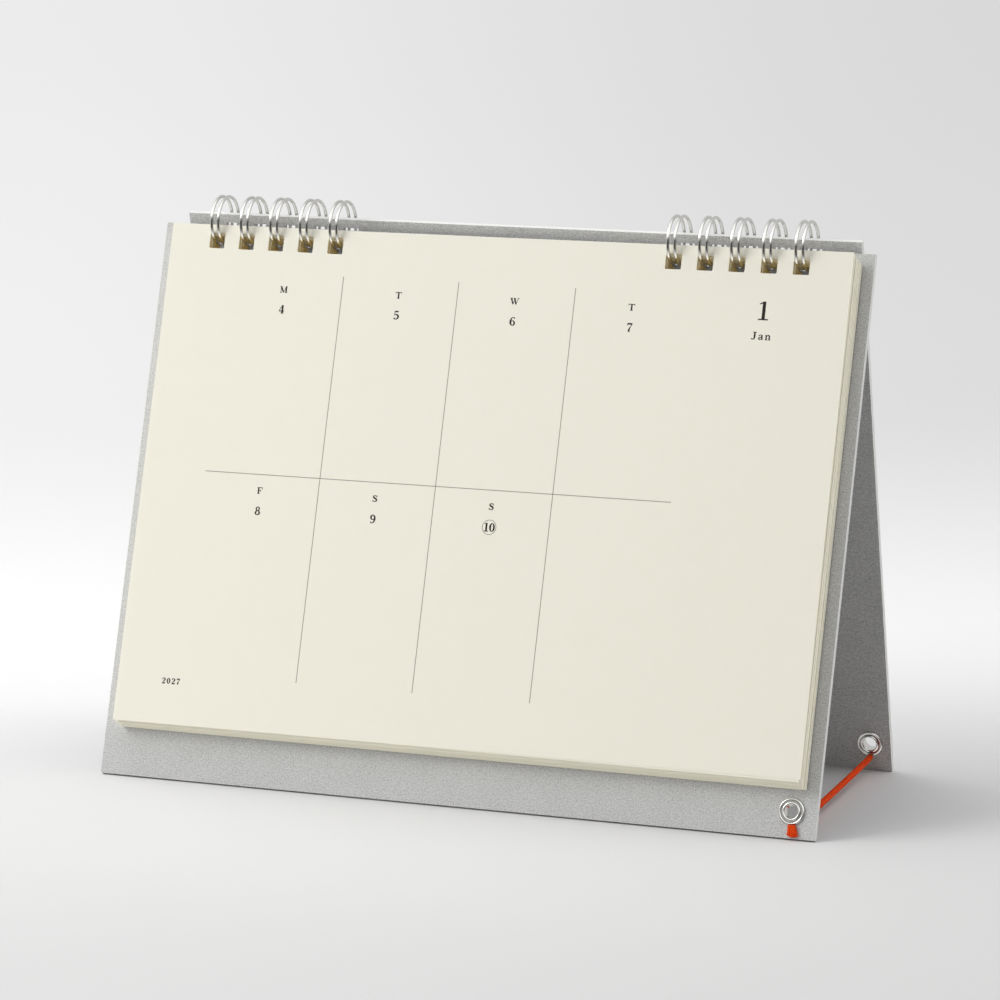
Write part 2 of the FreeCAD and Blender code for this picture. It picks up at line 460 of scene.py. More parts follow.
@dataclass(frozen=True)
class Greyboard:
    """Solid board pressed from recycled pulp, unglazed.

    It gives the eye a dead matt grey with fine fibres and pale and dark flecks, and cut edges that
    are paler and rougher than the faces.
    """

    slope: Slope
    middle: float
    dark_pulp: str = "#ACACAB"
    pulp: str = "#CBCBCA"
    pale_pulp: str = "#E1E1E0"
    edge_tone: str = "#E2E2E0"
    tone_places: tuple[float, float, float] = (0.38, 0.52, 0.68)
    fleck_size: float = 0.34
    cloud_size: float = 9.0
    cloud_share: float = 0.12
    fibre_length: float = 1.3
    fibre_width: float = 0.22
    fibre_turns: tuple[float, float] = (0.9, -0.8)
    fibre_share: float = 0.3
    face_depth: float = 0.02
    relief: float = 0.03
    roughness: float = 0.92
    shine: float = 0.25

    def build(self, name: str) -> bpy.types.Material:
        """Builds the material.

        Args:
            name: the material's name.

        Returns:
            The material, whose pattern lies in the board's own coordinates in millimetres.
        """
        material, add = new_material(name)
        place = add("ShaderNodeTexCoord").outputs["Object"]
        turn = (math.radians(self.slope.turn_deg), 0.0, 0.0)
        board = add(
            "ShaderNodeMapping",
            {"Vector": place, "Location": RING_LINE, "Rotation": turn, "Scale": (MM, MM, MM)},
            vector_type="TEXTURE",
        ).outputs[0]
        flecks = noise(add, board, self.fleck_size, detail=3.0)
        clouds = noise(add, board, self.cloud_size, detail=2.0)
        fibres = []
        for angle in self.fibre_turns:
            stretched = add(
                "ShaderNodeMapping",
                {
                    "Vector": board,
                    "Rotation": (0.0, angle, 0.0),
                    "Scale": (1 / self.fibre_length, 1 / self.fibre_width, 1 / self.fibre_width),
                },
            ).outputs[0]
            fibres.append(noise(add, stretched, 1.0, detail=1.0))
        mat = calc(add, "MAXIMUM", fibres[0], fibres[1])
        grain = mix_levels(add, self.fibre_share, flecks, mat)
        tones = (self.dark_pulp, self.pulp, self.pale_pulp)
        pulp = tone_ramp(add, grain, self.tone_places, tones)
        cloudy = add(
            "ShaderNodeMix",
            {"Factor": self.cloud_share, 6: pulp, 7: clouds},
            data_type="RGBA",
            blend_type="SOFT_LIGHT",
        ).outputs[2]
        across = add("ShaderNodeSeparateXYZ", {"Vector": board}).outputs["Y"]
        inside = BOARDS.thickness / 2 - self.face_depth
        edge = calc(add, "COMPARE", across, self.middle, inside)
        colour = mix_tones(add, edge, cloudy, linear(self.edge_tone))
        bump = add(
            "ShaderNodeBump", {"Strength": 1.0, "Distance": self.relief * MM, "Height": grain}
        )
        surface = add(
            "ShaderNodeBsdfPrincipled",
            {
                "Base Color": colour,
                "Roughness": self.roughness,
                "Specular IOR Level": self.shine,
                "Normal": bump.outputs[0],
            },
        )
        add("ShaderNodeOutputMaterial", {"Surface": surface.outputs[0]})
        return material


@dataclass(frozen=True)
class BookPaper:
    """Uncoated cream writing paper.

    It gives the eye a soft matt cream face with a faint cloudy formation, cut edges with a painted
    light that makes them paler than the face, and golden walls in the punched holes, a painted glow
    of the light that goes back and forth between the sheets.
    """

    face_tone: str = "#F5F2E4"
    cloud_tone: str = "#F3F0E1"
    edge_tone: str = "#FFFBE8"
    painted_hole_glow_tone: str = "#F2DC98"
    cloud_size: float = 5.0
    tooth_size: float = 0.18
    relief: float = 0.006
    roughness: float = 0.85
    shine: float = 0.3

    def build(self, name: str) -> bpy.types.Material:
        """Builds the material, whose cut edges follow the sheets' own attribute.

        Args:
            name: the material's name.

        Returns:
            The material.
        """
        material, add = new_material(name)
        place = add("ShaderNodeTexCoord").outputs["Object"]
        clouds = noise(add, place, self.cloud_size * MM, detail=3.0)
        tooth = noise(add, place, self.tooth_size * MM, detail=2.0)
        face = mix_tones(add, clouds, linear(self.cloud_tone), linear(self.face_tone))
        cut = add("ShaderNodeAttribute", attribute_name=SheetStack.CUT).outputs["Fac"]
        # Painted light: the cut edges are paler than the face, standing in for the light that they
        # catch.
        edged = mix_tones(add, cut, face, linear(self.edge_tone))
        punched = add("ShaderNodeAttribute", attribute_name=SheetStack.PUNCHED).outputs["Fac"]
        # Painted light: the hole walls are golden, a painted glow of the light that goes back and
        # forth between the sheets.
        colour = mix_tones(add, punched, edged, linear(self.painted_hole_glow_tone))
        bump = add(
            "ShaderNodeBump", {"Strength": 1.0, "Distance": self.relief * MM, "Height": tooth}
        )
        surface = add(
            "ShaderNodeBsdfPrincipled",
            {
                "Base Color": colour,
                "Roughness": self.roughness,
                "Specular IOR Level": self.shine,
                "Normal": bump.outputs[0],
            },
        )
        add("ShaderNodeOutputMaterial", {"Surface": surface.outputs[0]})
        return material


@dataclass(frozen=True)
class PrintingInk:
    """Offset ink soaked into uncoated paper.

    It gives the eye a flat brown black with no shine.
    """

    tone: str = "#26221D"
    thin_tone: str = "#35302A"
    patch_size: float = 0.3
    roughness: float = 0.8
    shine: float = 0.2

    def build(self, name: str) -> bpy.types.Material:
        """Builds the material.

        Args:
            name: the material's name.

        Returns:
            The material.
        """
        material, add = new_material(name)
        place = add("ShaderNodeTexCoord").outputs["Object"]
        patches = noise(add, place, self.patch_size * MM)
        colour = mix_tones(add, patches, linear(self.tone), linear(self.thin_tone))
        surface = add(
            "ShaderNodeBsdfPrincipled",
            {"Base Color": colour, "Roughness": self.roughness, "Specular IOR Level": self.shine},
        )
        add("ShaderNodeOutputMaterial", {"Surface": surface.outputs[0]})
        return material


@dataclass(frozen=True)
class Nickel:
    """Bright nickel plate on drawn wire or a pressed eyelet.

    It gives the eye a silver mirror that is slightly blurred, with a faint change of polish from
    place to place. Between surfaces that are nearer than the crevice it darkens to a painted shade.
    """

    tone: str = "#E3E2DE"
    polished: float = 0.12
    dull: float = 0.2
    patch_size: float = 2.5
    relief: float = 0.0008
    crevice_shade_tone: str = "#6E6C68"
    crevice: float = 0.01
    open_share: tuple[float, float] = (0.3, 0.8)

    def build(self, name: str) -> bpy.types.Material:
        """Builds the material.

        Args:
            name: the material's name.

        Returns:
            The material.
        """
        material, add = new_material(name)
        place = add("ShaderNodeTexCoord").outputs["Object"]
        patches = noise(add, place, self.patch_size * MM, detail=4.0)
        roughness = spread(add, patches, (0.0, 1.0), (self.polished, self.dull))
        bump = add(
            "ShaderNodeBump", {"Strength": 1.0, "Distance": self.relief * MM, "Height": patches}
        )
        # Painted shade: where other surfaces are nearer than the crevice, the colour darkens
        # towards the shade tone.
        open_air = add(
            "ShaderNodeAmbientOcclusion", {"Distance": self.crevice * MM}, samples=8
        ).outputs["AO"]
        clear = spread(add, open_air, self.open_share)
        tone = mix_tones(add, clear, linear(self.crevice_shade_tone), linear(self.tone))
        surface = add(
            "ShaderNodeBsdfPrincipled",
            {
                "Base Color": tone,
                "Metallic": 1.0,
                "Roughness": roughness,
                "Normal": bump.outputs[0],
            },
        )
        add("ShaderNodeOutputMaterial", {"Surface": surface.outputs[0]})
        return material


@dataclass(frozen=True)
class CottonYarn:
    """Dyed orange cotton yarn, twisted from many fibres.

    It gives the eye a warm saturated orange with fine slanting fibre lines, with a painted shade in
    the grooves and a painted light on the crests.
    """

    tone: str = "#FF4806"
    deep_tone: str = "#B41C00"
    pale_tone: str = "#FF6A1C"
    tone_places: tuple[float, float, float] = (0.22, 0.5, 0.85)
    fibre_rows: float = 7.0
    twist_length: float = 1.3
    tuft_size: float = 0.35
    line_share: float = 0.22
    relief: float = 0.05
    roughness: float = 0.8
    shine: float = 0.2

    def build(self, name: str) -> bpy.types.Material:
        """Builds the material, whose fibre lines follow the yarn's own attributes.

        Args:
            name: the material's name.

        Returns:
            The material.
        """
        material, add = new_material(name)
        place = add("ShaderNodeTexCoord").outputs["Object"]
        along = add("ShaderNodeAttribute", attribute_name=Yarn.ALONG).outputs["Fac"]
        around = add("ShaderNodeAttribute", attribute_name=Yarn.AROUND).outputs["Fac"]
        turns = calc(add, "MULTIPLY", along, 1 / (self.twist_length * MM))
        phase = calc(add, "MULTIPLY_ADD", around, self.fibre_rows, turns)
        angle = calc(add, "MULTIPLY", phase, math.tau)
        lines = calc(add, "SINE", angle)
        loose = noise(add, place, self.tuft_size * MM, detail=3.0)
        # Painted shade and light: the ramp darkens the fibre lines' grooves and lightens their
        # crests; the loose tufts add tone that differs at random.
        height = calc(add, "MULTIPLY_ADD", lines, self.line_share, loose)
        tones = (self.deep_tone, self.tone, self.pale_tone)
        colour = tone_ramp(add, height, self.tone_places, tones)
        bump = add(
            "ShaderNodeBump", {"Strength": 1.0, "Distance": self.relief * MM, "Height": height}
        )
        surface = add(
            "ShaderNodeBsdfPrincipled",
            {
                "Base Color": colour,
                "Roughness": self.roughness,
                "Specular IOR Level": self.shine,
                "Normal": bump.outputs[0],
            },
        )
        add("ShaderNodeOutputMaterial", {"Surface": surface.outputs[0]})
        return material


@dataclass(frozen=True)
class StudioPaper:
    """The pale matt background sheet, with a painted shade that makes it a touch darker to the
    right and close by.

    Far behind the object it shows a plain pale gradient to the camera and to gloss, as a painted
    glow which lights nothing. Its distances are metres ahead of the viewpoint, on the way that it
    is turned to.
    """

    left_tone: str = "#EDEDED"
    right_tone: str = "#E9E9E9"
    far_left: str = "#F1F1F1"
    far_right: str = "#DDDDDD"
    top_fade: float = 0.925
    top_m: tuple[float, float] = (1.9, 4.6)
    turn_deg: float = -22.0
    viewpoint: tuple[float, float] = (0.428, -1.064)
    half_spread: float = 0.12
    near_shade: float = 0.71
    near_m: tuple[float, float] = (0.9, 1.4)
    far_m: tuple[float, float] = (1.3, 1.85)
    roughness: float = 0.95
    shine: float = 0.1

    def build(self, name: str) -> bpy.types.Material:
        """Builds the material.

        Args:
            name: the material's name.

        Returns:
            The material.
        """
        material, add = new_material(name)
        place = add("ShaderNodeTexCoord").outputs["Object"]
        fan = add(
            "ShaderNodeMapping",
            {
                "Vector": place,
                "Location": (*self.viewpoint, 0.0),
                "Rotation": (0.0, 0.0, math.radians(-self.turn_deg)),
            },
            vector_type="TEXTURE",
        ).outputs[0]
        ahead = add("ShaderNodeSeparateXYZ", {"Vector": fan}).outputs
        aside = calc(add, "DIVIDE", ahead["X"], ahead["Y"])
        # Painted shade: the sheet is a touch darker to the right and, by near_shade, close by.
        shade = spread(add, aside, (-self.half_spread, self.half_spread), smooth=True)
        near = spread(add, ahead["Y"], self.near_m, (self.near_shade, 1.0), smooth=True)
        tone = mix_tones(add, shade, linear(self.left_tone), linear(self.right_tone))
        shaded = add("ShaderNodeVectorMath", {0: tone, "Scale": near}, operation="SCALE").outputs[0]
        lit = add(
            "ShaderNodeBsdfPrincipled",
            {"Base Color": shaded, "Roughness": self.roughness, "Specular IOR Level": self.shine},
        )
        # Painted light: far away the sheet glows with a pale gradient for the camera and for gloss
        # rays.
        far_tone = mix_tones(add, shade, linear(self.far_left), linear(self.far_right))
        fade = spread(add, ahead["Y"], self.top_m, (1.0, self.top_fade))
        glow = add("ShaderNodeEmission", {"Color": far_tone, "Strength": fade})
        far = spread(add, ahead["Y"], self.far_m, smooth=True)
        path = add("ShaderNodeLightPath").outputs
        seen = calc(add, "MAXIMUM", path["Is Camera Ray"], path["Is Glossy Ray"])
        share = calc(add, "MULTIPLY", far, seen)
        surface = add("ShaderNodeMixShader", {0: share, 1: lit.outputs[0], 2: glow.outputs[0]})
        add("ShaderNodeOutputMaterial", {"Surface": surface.outputs[0]})
        return material


# Sub-assemblies


class BoardPair:
    """The two punched boards. Their CAD shapes stay, and this class dresses them."""

    def dress(self) -> None:
        """Puts the greyboard finish on both boards."""
        half = BOARDS.thickness / 2
        boards = {
            "front_board": Greyboard(FRONT_SLOPE, BOARDS.front_face + half),
            "back_board": Greyboard(BACK_SLOPE, BOARDS.back_face + half),
        }
        for node, finish in boards.items():
            board = frame["nodes"][node]
            paint(board, finish.build(node + "_greyboard"))
            report(board)


@dataclass
class SheetStack:
    """The pad of pages: thin punched sheets that hang one behind another on the round wires.

    The front sheet hangs by itself, and the others in groups, each a step further to the side.
    """

    CUT = "cut_edge"
    PUNCHED = "punched_edge"

    sheets: int = 54
    fill: float = 0.96
    group: int = 9
    group_step: float = 0.16
    front_turn: float = 0.003
    group_turn: float = 0.0035
    least_turn: float = 0.2
    side_scatter: float = 0.16
    height_scatter: float = 0.16
    corner_radius: float = 0.35
    corner_steps: int = 2
    hole_band: float = 0.7
    weld_m: float = 1e-7
    seed: int = 7

    def tree(self) -> bpy.types.NodeTree:
        """Builds the node tree that punches one sheet and repeats it through the pad.

        Returns:
            The tree. All its sizes are in metres.
        """
        tree, add, given = new_tree(
            "sheet_stack",
            {
                "Width": "Float", "Height": "Float", "Sheets": "Int", "Sheet Thickness": "Float",
                "Sheet Pitch": "Float", "Near": "Float", "Hanging Radius": "Float",
                "Hole Margin": "Float", "Hole Side": "Float", "Hole Pitch": "Float",
                "First Hole": "Float", "Holes": "Int", "Corner Radius": "Float", "Group": "Int",
                "Group Step": "Float", "Front Turn": "Float", "Scatter": "Vector",
                "Group Turn": "Float", "Seed": "Int", "Paper": "Material",
            },
        )
        size = given.outputs
        outline = add(
            "GeometryNodeCurvePrimitiveQuadrilateral",
            {"Width": size["Width"], "Height": size["Height"]},
        )
        half_height = calc(add, "MULTIPLY", size["Height"], -0.5)
        drop = vector(add, Y=half_height)
        page = add(
            "GeometryNodeTransform", {"Geometry": outline.outputs[0], "Translation": drop}
        ).outputs[0]
        square = add(
            "GeometryNodeCurvePrimitiveQuadrilateral",
            {"Width": size["Hole Side"], "Height": size["Hole Side"]},
        )
        rounded = add(
            "GeometryNodeFilletCurve",
            {
                "Curve": square.outputs[0],
                "Radius": size["Corner Radius"],
                "Count": self.corner_steps,
            },
            mode="POLY",
        ).outputs[0]
        half_side = calc(add, "MULTIPLY_ADD", size["Hole Side"], 0.5, size["Hole Margin"])
        hole_y = calc(add, "MULTIPLY", half_side, -1.0)
        rows = []
        for side in Side:
            start_x = calc(add, "MULTIPLY", size["First Hole"], float(side.value))
            step_x = calc(add, "MULTIPLY", size["Hole Pitch"], -float(side.value))
            row = add(
                "GeometryNodeMeshLine",
                {
                    "Count": size["Holes"],
                    "Start Location": vector(add, X=start_x, Y=hole_y),
                    "Offset": vector(add, X=step_x),
                },
            )
            holes = {"Points": row.outputs[0], "Instance": rounded}
            rows.append(add("GeometryNodeInstanceOnPoints", holes).outputs[0])
        curves = add("GeometryNodeJoinGeometry", {"Geometry": [page, *rows]}).outputs[0]
        flat = add(
            "GeometryNodeFillCurve",
            {"Curve": add("GeometryNodeRealizeInstances", {0: curves}).outputs[0]},
        )
        raised = add(
            "GeometryNodeExtrudeMesh",
            {"Mesh": flat.outputs[0], "Offset Scale": size["Sheet Thickness"], "Individual": False},
        )
        marked = add(
            "GeometryNodeStoreNamedAttribute",
            {"Geometry": raised.outputs["Mesh"], "Name": self.CUT, "Value": raised.outputs["Side"]},
            data_type="FLOAT",
            domain="FACE",
        ).outputs[0]
        spot = add(
            "ShaderNodeSeparateXYZ", {"Vector": add("GeometryNodeInputPosition").outputs[0]}
        ).outputs
        band = calc(add, "MULTIPLY", size["Hole Side"], self.hole_band)
        in_row = calc(add, "COMPARE", spot["Y"], hole_y, band)
        off_middle = calc(add, "ABSOLUTE", spot["X"])
        row_end = calc(add, "ADD", size["First Hole"], size["Hole Side"])
        within = calc(add, "LESS_THAN", off_middle, row_end)
        inner = calc(add, "MULTIPLY", in_row, within)
        wall = calc(add, "MULTIPLY", inner, raised.outputs["Side"])
        holed = add(
            "GeometryNodeStoreNamedAttribute",
            {"Geometry": marked, "Name": self.PUNCHED, "Value": wall},
            data_type="FLOAT",
            domain="FACE",
        ).outputs[0]
        under = add("GeometryNodeFlipFaces", {"Mesh": flat.outputs[0]}).outputs[0]
        closed = add("GeometryNodeJoinGeometry", {"Geometry": [holed, under]}).outputs[0]
        solid = add(
            "GeometryNodeMergeByDistance", {"Geometry": closed, "Distance": self.weld_m}
        ).outputs[0]
        upright = add(
            "GeometryNodeTransform", {"Geometry": solid, "Rotation": (math.pi / 2, 0.0, 0.0)}
        ).outputs[0]
        far_side = vector(add, Y=size["Sheet Thickness"])
        sheet = add(
            "GeometryNodeTransform", {"Geometry": upright, "Translation": far_side}
        ).outputs[0]

        # Every group of sheets behind the front one hangs at its first sheet's height.
        line = add(
            "GeometryNodeMeshLine",
            {
                "Count": size["Sheets"],
                "Start Location": vector(add, Y=size["Near"]),
                "Offset": vector(add, Y=size["Sheet Pitch"]),
            },
        ).outputs[0]
        index = add("GeometryNodeInputIndex").outputs[0]
        front = calc(add, "LESS_THAN", index, 0.5)
        loose = calc(add, "SUBTRACT", 1.0, front)
        ahead = calc(add, "ADD", index, size["Group"])
        counted = calc(add, "SUBTRACT", ahead, 1.0)
        share = calc(add, "DIVIDE", counted, size["Group"])
        group = calc(add, "FLOOR", share)
        past = calc(add, "SUBTRACT", group, 1.0)
        leader = calc(add, "MULTIPLY_ADD", past, size["Group"], 1.0)
        held = calc(add, "MULTIPLY", leader, loose)
        behind = calc(add, "MULTIPLY_ADD", held, size["Sheet Pitch"], size["Near"])
        square_sum = calc(add, "MULTIPLY", behind, behind)
        radius_sum = calc(add, "MULTIPLY", size["Hanging Radius"], size["Hanging Radius"])
        fall = calc(add, "SUBTRACT", radius_sum, square_sum)
        root = calc(add, "SQRT", fall)
        hang = calc(add, "SUBTRACT", size["Hole Margin"], root)
        low = add(
            "ShaderNodeVectorMath", {0: size["Scatter"], "Scale": -1.0}, operation="SCALE"
        ).outputs[0]
        chance = add(
            "FunctionNodeRandomValue",
            {0: low, 1: size["Scatter"], "ID": group, "Seed": size["Seed"]},
            data_type="FLOAT_VECTOR",
        )
        stepped = calc(add, "MULTIPLY", group, size["Group Step"])
        aside = add(
            "ShaderNodeVectorMath",
            {0: chance.outputs[0], 1: vector(add, X=stepped)},
            operation="ADD",
        ).outputs[0]
        shift = add(
            "ShaderNodeVectorMath", {0: aside, "Scale": loose}, operation="SCALE"
        ).outputs[0]
        hung = add(
            "ShaderNodeVectorMath", {0: shift, 1: vector(add, Z=hang)}, operation="ADD"
        ).outputs[0]
        places = add("GeometryNodeSetPosition", {"Geometry": line, "Offset": hung}).outputs[0]
        sway = add(
            "FunctionNodeRandomValue",
            {2: self.least_turn, 3: 1.0, "ID": group, "Seed": size["Seed"]},
            data_type="FLOAT",
        ).outputs[1]
        swayed = calc(add, "MULTIPLY", sway, size["Group Turn"])
        back_turn = calc(add, "MULTIPLY", swayed, loose)
        front_turn = calc(add, "MULTIPLY", front, size["Front Turn"])
        turn = calc(add, "SUBTRACT", back_turn, front_turn)
        stacked = add(
            "GeometryNodeInstanceOnPoints",
            {"Points": places, "Instance": sheet, "Rotation": vector(add, Y=turn)},
        ).outputs[0]
        swung = add("GeometryNodeRealizeInstances", {0: stacked}).outputs[0]
        painted = add(
            "GeometryNodeSetMaterial", {"Geometry": swung, "Material": size["Paper"]}
        ).outputs[0]
        add("NodeGroupOutput", {0: painted})
        return tree

    def build(self, paper: bpy.types.Material) -> bpy.types.Object:
        """Builds the pad and puts it in place of its plain CAD block.

        Args:
            paper: the pages' material.

        Returns:
            The pad.
        """
        top = STACK.hanging_height(STACK.front) + STACK.hole_margin
        height = top - STACK.bottom
        depth = STACK.back - STACK.front
        pitch = depth / (self.sheets - 1 + self.fill)
        values = {
            "Width": STACK.width * MM,
            "Height": height * MM,
            "Sheets": self.sheets,
            "Sheet Thickness": self.fill * pitch * MM,
            "Sheet Pitch": pitch * MM,
            "Near": STACK.front * MM,
            "Hanging Radius": STACK.hanging_radius * MM,
            "Hole Margin": STACK.hole_margin * MM,
            "Hole Side": PUNCHING.side * MM,
            "Hole Pitch": PUNCHING.pitch * MM,
            "First Hole": PUNCHING.first * MM,
            "Holes": PUNCHING.loops,
            "Corner Radius": self.corner_radius * MM,
            "Group": self.group,
            "Group Step": self.group_step * MM,
            "Front Turn": self.front_turn,
            "Group Turn": self.group_turn,
            "Scatter": (self.side_scatter * MM, 0.0, self.height_scatter * MM),
            "Seed": self.seed,
            "Paper": paper,
        }
        pad = grown("pages_stack", self.tree(), bpy.data.meshes.new("pages_start"), values)
        pad.data.transform(FRONT_SLOPE.matrix())
        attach(pad, Body.PAGES.value)
        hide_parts("page_pad")
        report(pad)
        return pad


@dataclass
class TwinLoopWire:
    """A wire bent to a row of double rings, each closed by its rounded tip beside the links."""

    side: Side
    ring_radius: float = 6.3
    diameter: float = 0.85
    spacing: float = 1.9
    shift: float = -0.39
    bend_radius: float = 1.0
    link_deg: float = -6.0
    tip_deg: float = 13.5
    end_stub: float = 0.8
    step_deg: float = 5.0
    bend_step_deg: float = 15.0
    section_sides: int = 14
    weld_m: float = 1e-5

    def ring_point(self, x: float, angle_deg: float) -> Vector:
        """Gives a point on a ring, at an angle up from the rings' back."""
        angle = math.radians(angle_deg)
        return Vector((x, self.ring_radius * math.cos(angle), self.ring_radius * math.sin(angle)))

    def heading(self, angle_deg: float) -> Vector:
        """Gives the way the wire runs there, as it goes round by the foot side."""
        angle = math.radians(angle_deg)
        return Vector((0.0, math.sin(angle), -math.cos(angle)))

    def turn(self, centre: Vector, first: Vector, last: Vector, sweep_deg: float) -> list[Vector]:
        """Gives the points of an arc that starts along first and ends sweep_deg later towards last.

        Args:
            centre: the arc's centre.
            first: from the centre to the arc's start.
            last: a radius at right angles to first, on the side that the arc turns to.
            sweep_deg: how far it turns.

        Returns:
            The points after the start.
        """
        steps = max(2, round(sweep_deg / self.bend_step_deg))
        angles = [math.radians(sweep_deg * i / steps) for i in range(1, steps + 1)]
        return [centre + first * math.cos(angle) + last * math.sin(angle) for angle in angles]

    def loop(self) -> list[Vector]:
        """Gives one double ring with half a link at each end.

        Returns:
            The points in millimetres, round a hole centre at x 0.
        """
        first = self.shift - self.spacing / 2
        last = first + self.spacing
        back = self.heading(self.link_deg) * -self.bend_radius
        outward = Vector((self.bend_radius, 0.0, 0.0))
        half_link = (PUNCHING.pitch - self.spacing) / 2
        tip = self.tip_deg - 360
        count = round((self.link_deg - tip) / self.step_deg)
        angles = [self.link_deg + (tip - self.link_deg) * i / count for i in range(count + 1)]
        start = self.ring_point(first, self.link_deg)
        end = self.ring_point(last, self.link_deg)
        points = [start + back - Vector((half_link, 0.0, 0.0)), start - outward + back]
        points += self.turn(start - outward, back, outward, 90)
        points += [self.ring_point(first, angle) for angle in angles[1:]]
        crown_centre = self.ring_point(first + self.spacing / 2, tip)
        spoke = Vector((self.spacing / 2, 0.0, 0.0))
        points += self.turn(crown_centre, -spoke, self.heading(tip) * (self.spacing / 2), 180)
        points += [self.ring_point(last, angle) for angle in reversed(angles[:-1])]
        points += self.turn(end + outward, -outward, back, 90)
        points.append(end + back + Vector((half_link, 0.0, 0.0)))
        return points

    def tree(self) -> bpy.types.NodeTree:
        """Builds the node tree that repeats a loop and gives the line its thickness.

        Returns:
            The tree. All its sizes are in metres.
        """
        tree, add, given = new_tree(
            "twin_loop_wire",
            {
                "Loop": "Geometry", "Loops": "Int", "Pitch": "Float", "First": "Float",
                "Wire Diameter": "Float", "End Cut": "Float", "Metal": "Material",
            },
        )
        size = given.outputs
        row = add(
            "GeometryNodeMeshLine",
            {
                "Count": size["Loops"],
                "Start Location": vector(add, X=size["First"]),
                "Offset": vector(add, X=size["Pitch"]),
            },
        ).outputs[0]
        loops = add(
            "GeometryNodeInstanceOnPoints", {"Points": row, "Instance": size["Loop"]}
        ).outputs[0]
        real = add("GeometryNodeRealizeInstances", {0: loops}).outputs[0]
        joined = add(
            "GeometryNodeMergeByDistance", {"Geometry": real, "Distance": self.weld_m}
        ).outputs[0]
        line = add("GeometryNodeMeshToCurve", {"Mesh": joined}).outputs[0]
        length = add("GeometryNodeCurveLength", {"Curve": line}).outputs[0]
        end = calc(add, "SUBTRACT", length, size["End Cut"])
        cut = add("GeometryNodeTrimCurve", {"Curve": line}, mode="LENGTH")
        # The node has its lengths after two shares with the same names.
        lengths = [socket for socket in cut.inputs if socket.name in ("Start", "End")][-2:]
        for socket, value in zip(lengths, (size["End Cut"], end)):
            tree.links.new(value, socket)
        radius = calc(add, "MULTIPLY", size["Wire Diameter"], 0.5)
        section = add(
            "GeometryNodeCurvePrimitiveCircle", {"Resolution": self.section_sides, "Radius": radius}
        ).outputs[0]
        body = add(
            "GeometryNodeCurveToMesh",
            {"Curve": cut.outputs[0], "Profile Curve": section, "Fill Caps": True},
        )
        painted = add(
            "GeometryNodeSetMaterial", {"Geometry": body.outputs[0], "Material": size["Metal"]}
        ).outputs[0]
        add("NodeGroupOutput", {0: painted})
        return tree

    def build(self, metal: bpy.types.Material) -> bpy.types.Object:
        """Builds the wire and puts it in place of its plain CAD tube.

        Args:
            metal: the wire's material.

        Returns:
            The wire.
        """
        name = "binding_wire_" + self.side.name.lower()
        row = (PUNCHING.loops - 1) * PUNCHING.pitch
        first = -PUNCHING.first if self.side is Side.LEFT else PUNCHING.first - row
        half_link = (PUNCHING.pitch - self.spacing) / 2 - self.bend_radius
        values = {
            "Loops": PUNCHING.loops,
            "Pitch": PUNCHING.pitch * MM,
            "First": first * MM,
            "Wire Diameter": self.diameter * MM,
            "End Cut": (half_link - self.end_stub) * MM,
            "Metal": metal,
        }
        loop = lines_mesh(name + "_loop", [[point * MM for point in self.loop()]])
        wire = grown(name, self.tree(), loop, values)
        wire.data.transform(LEVEL.matrix())
        wire.data.shade_smooth()
        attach(wire, Body.FRONT.value)
        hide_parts("wire_" + self.side.name.lower())
        report(wire)
        return wire


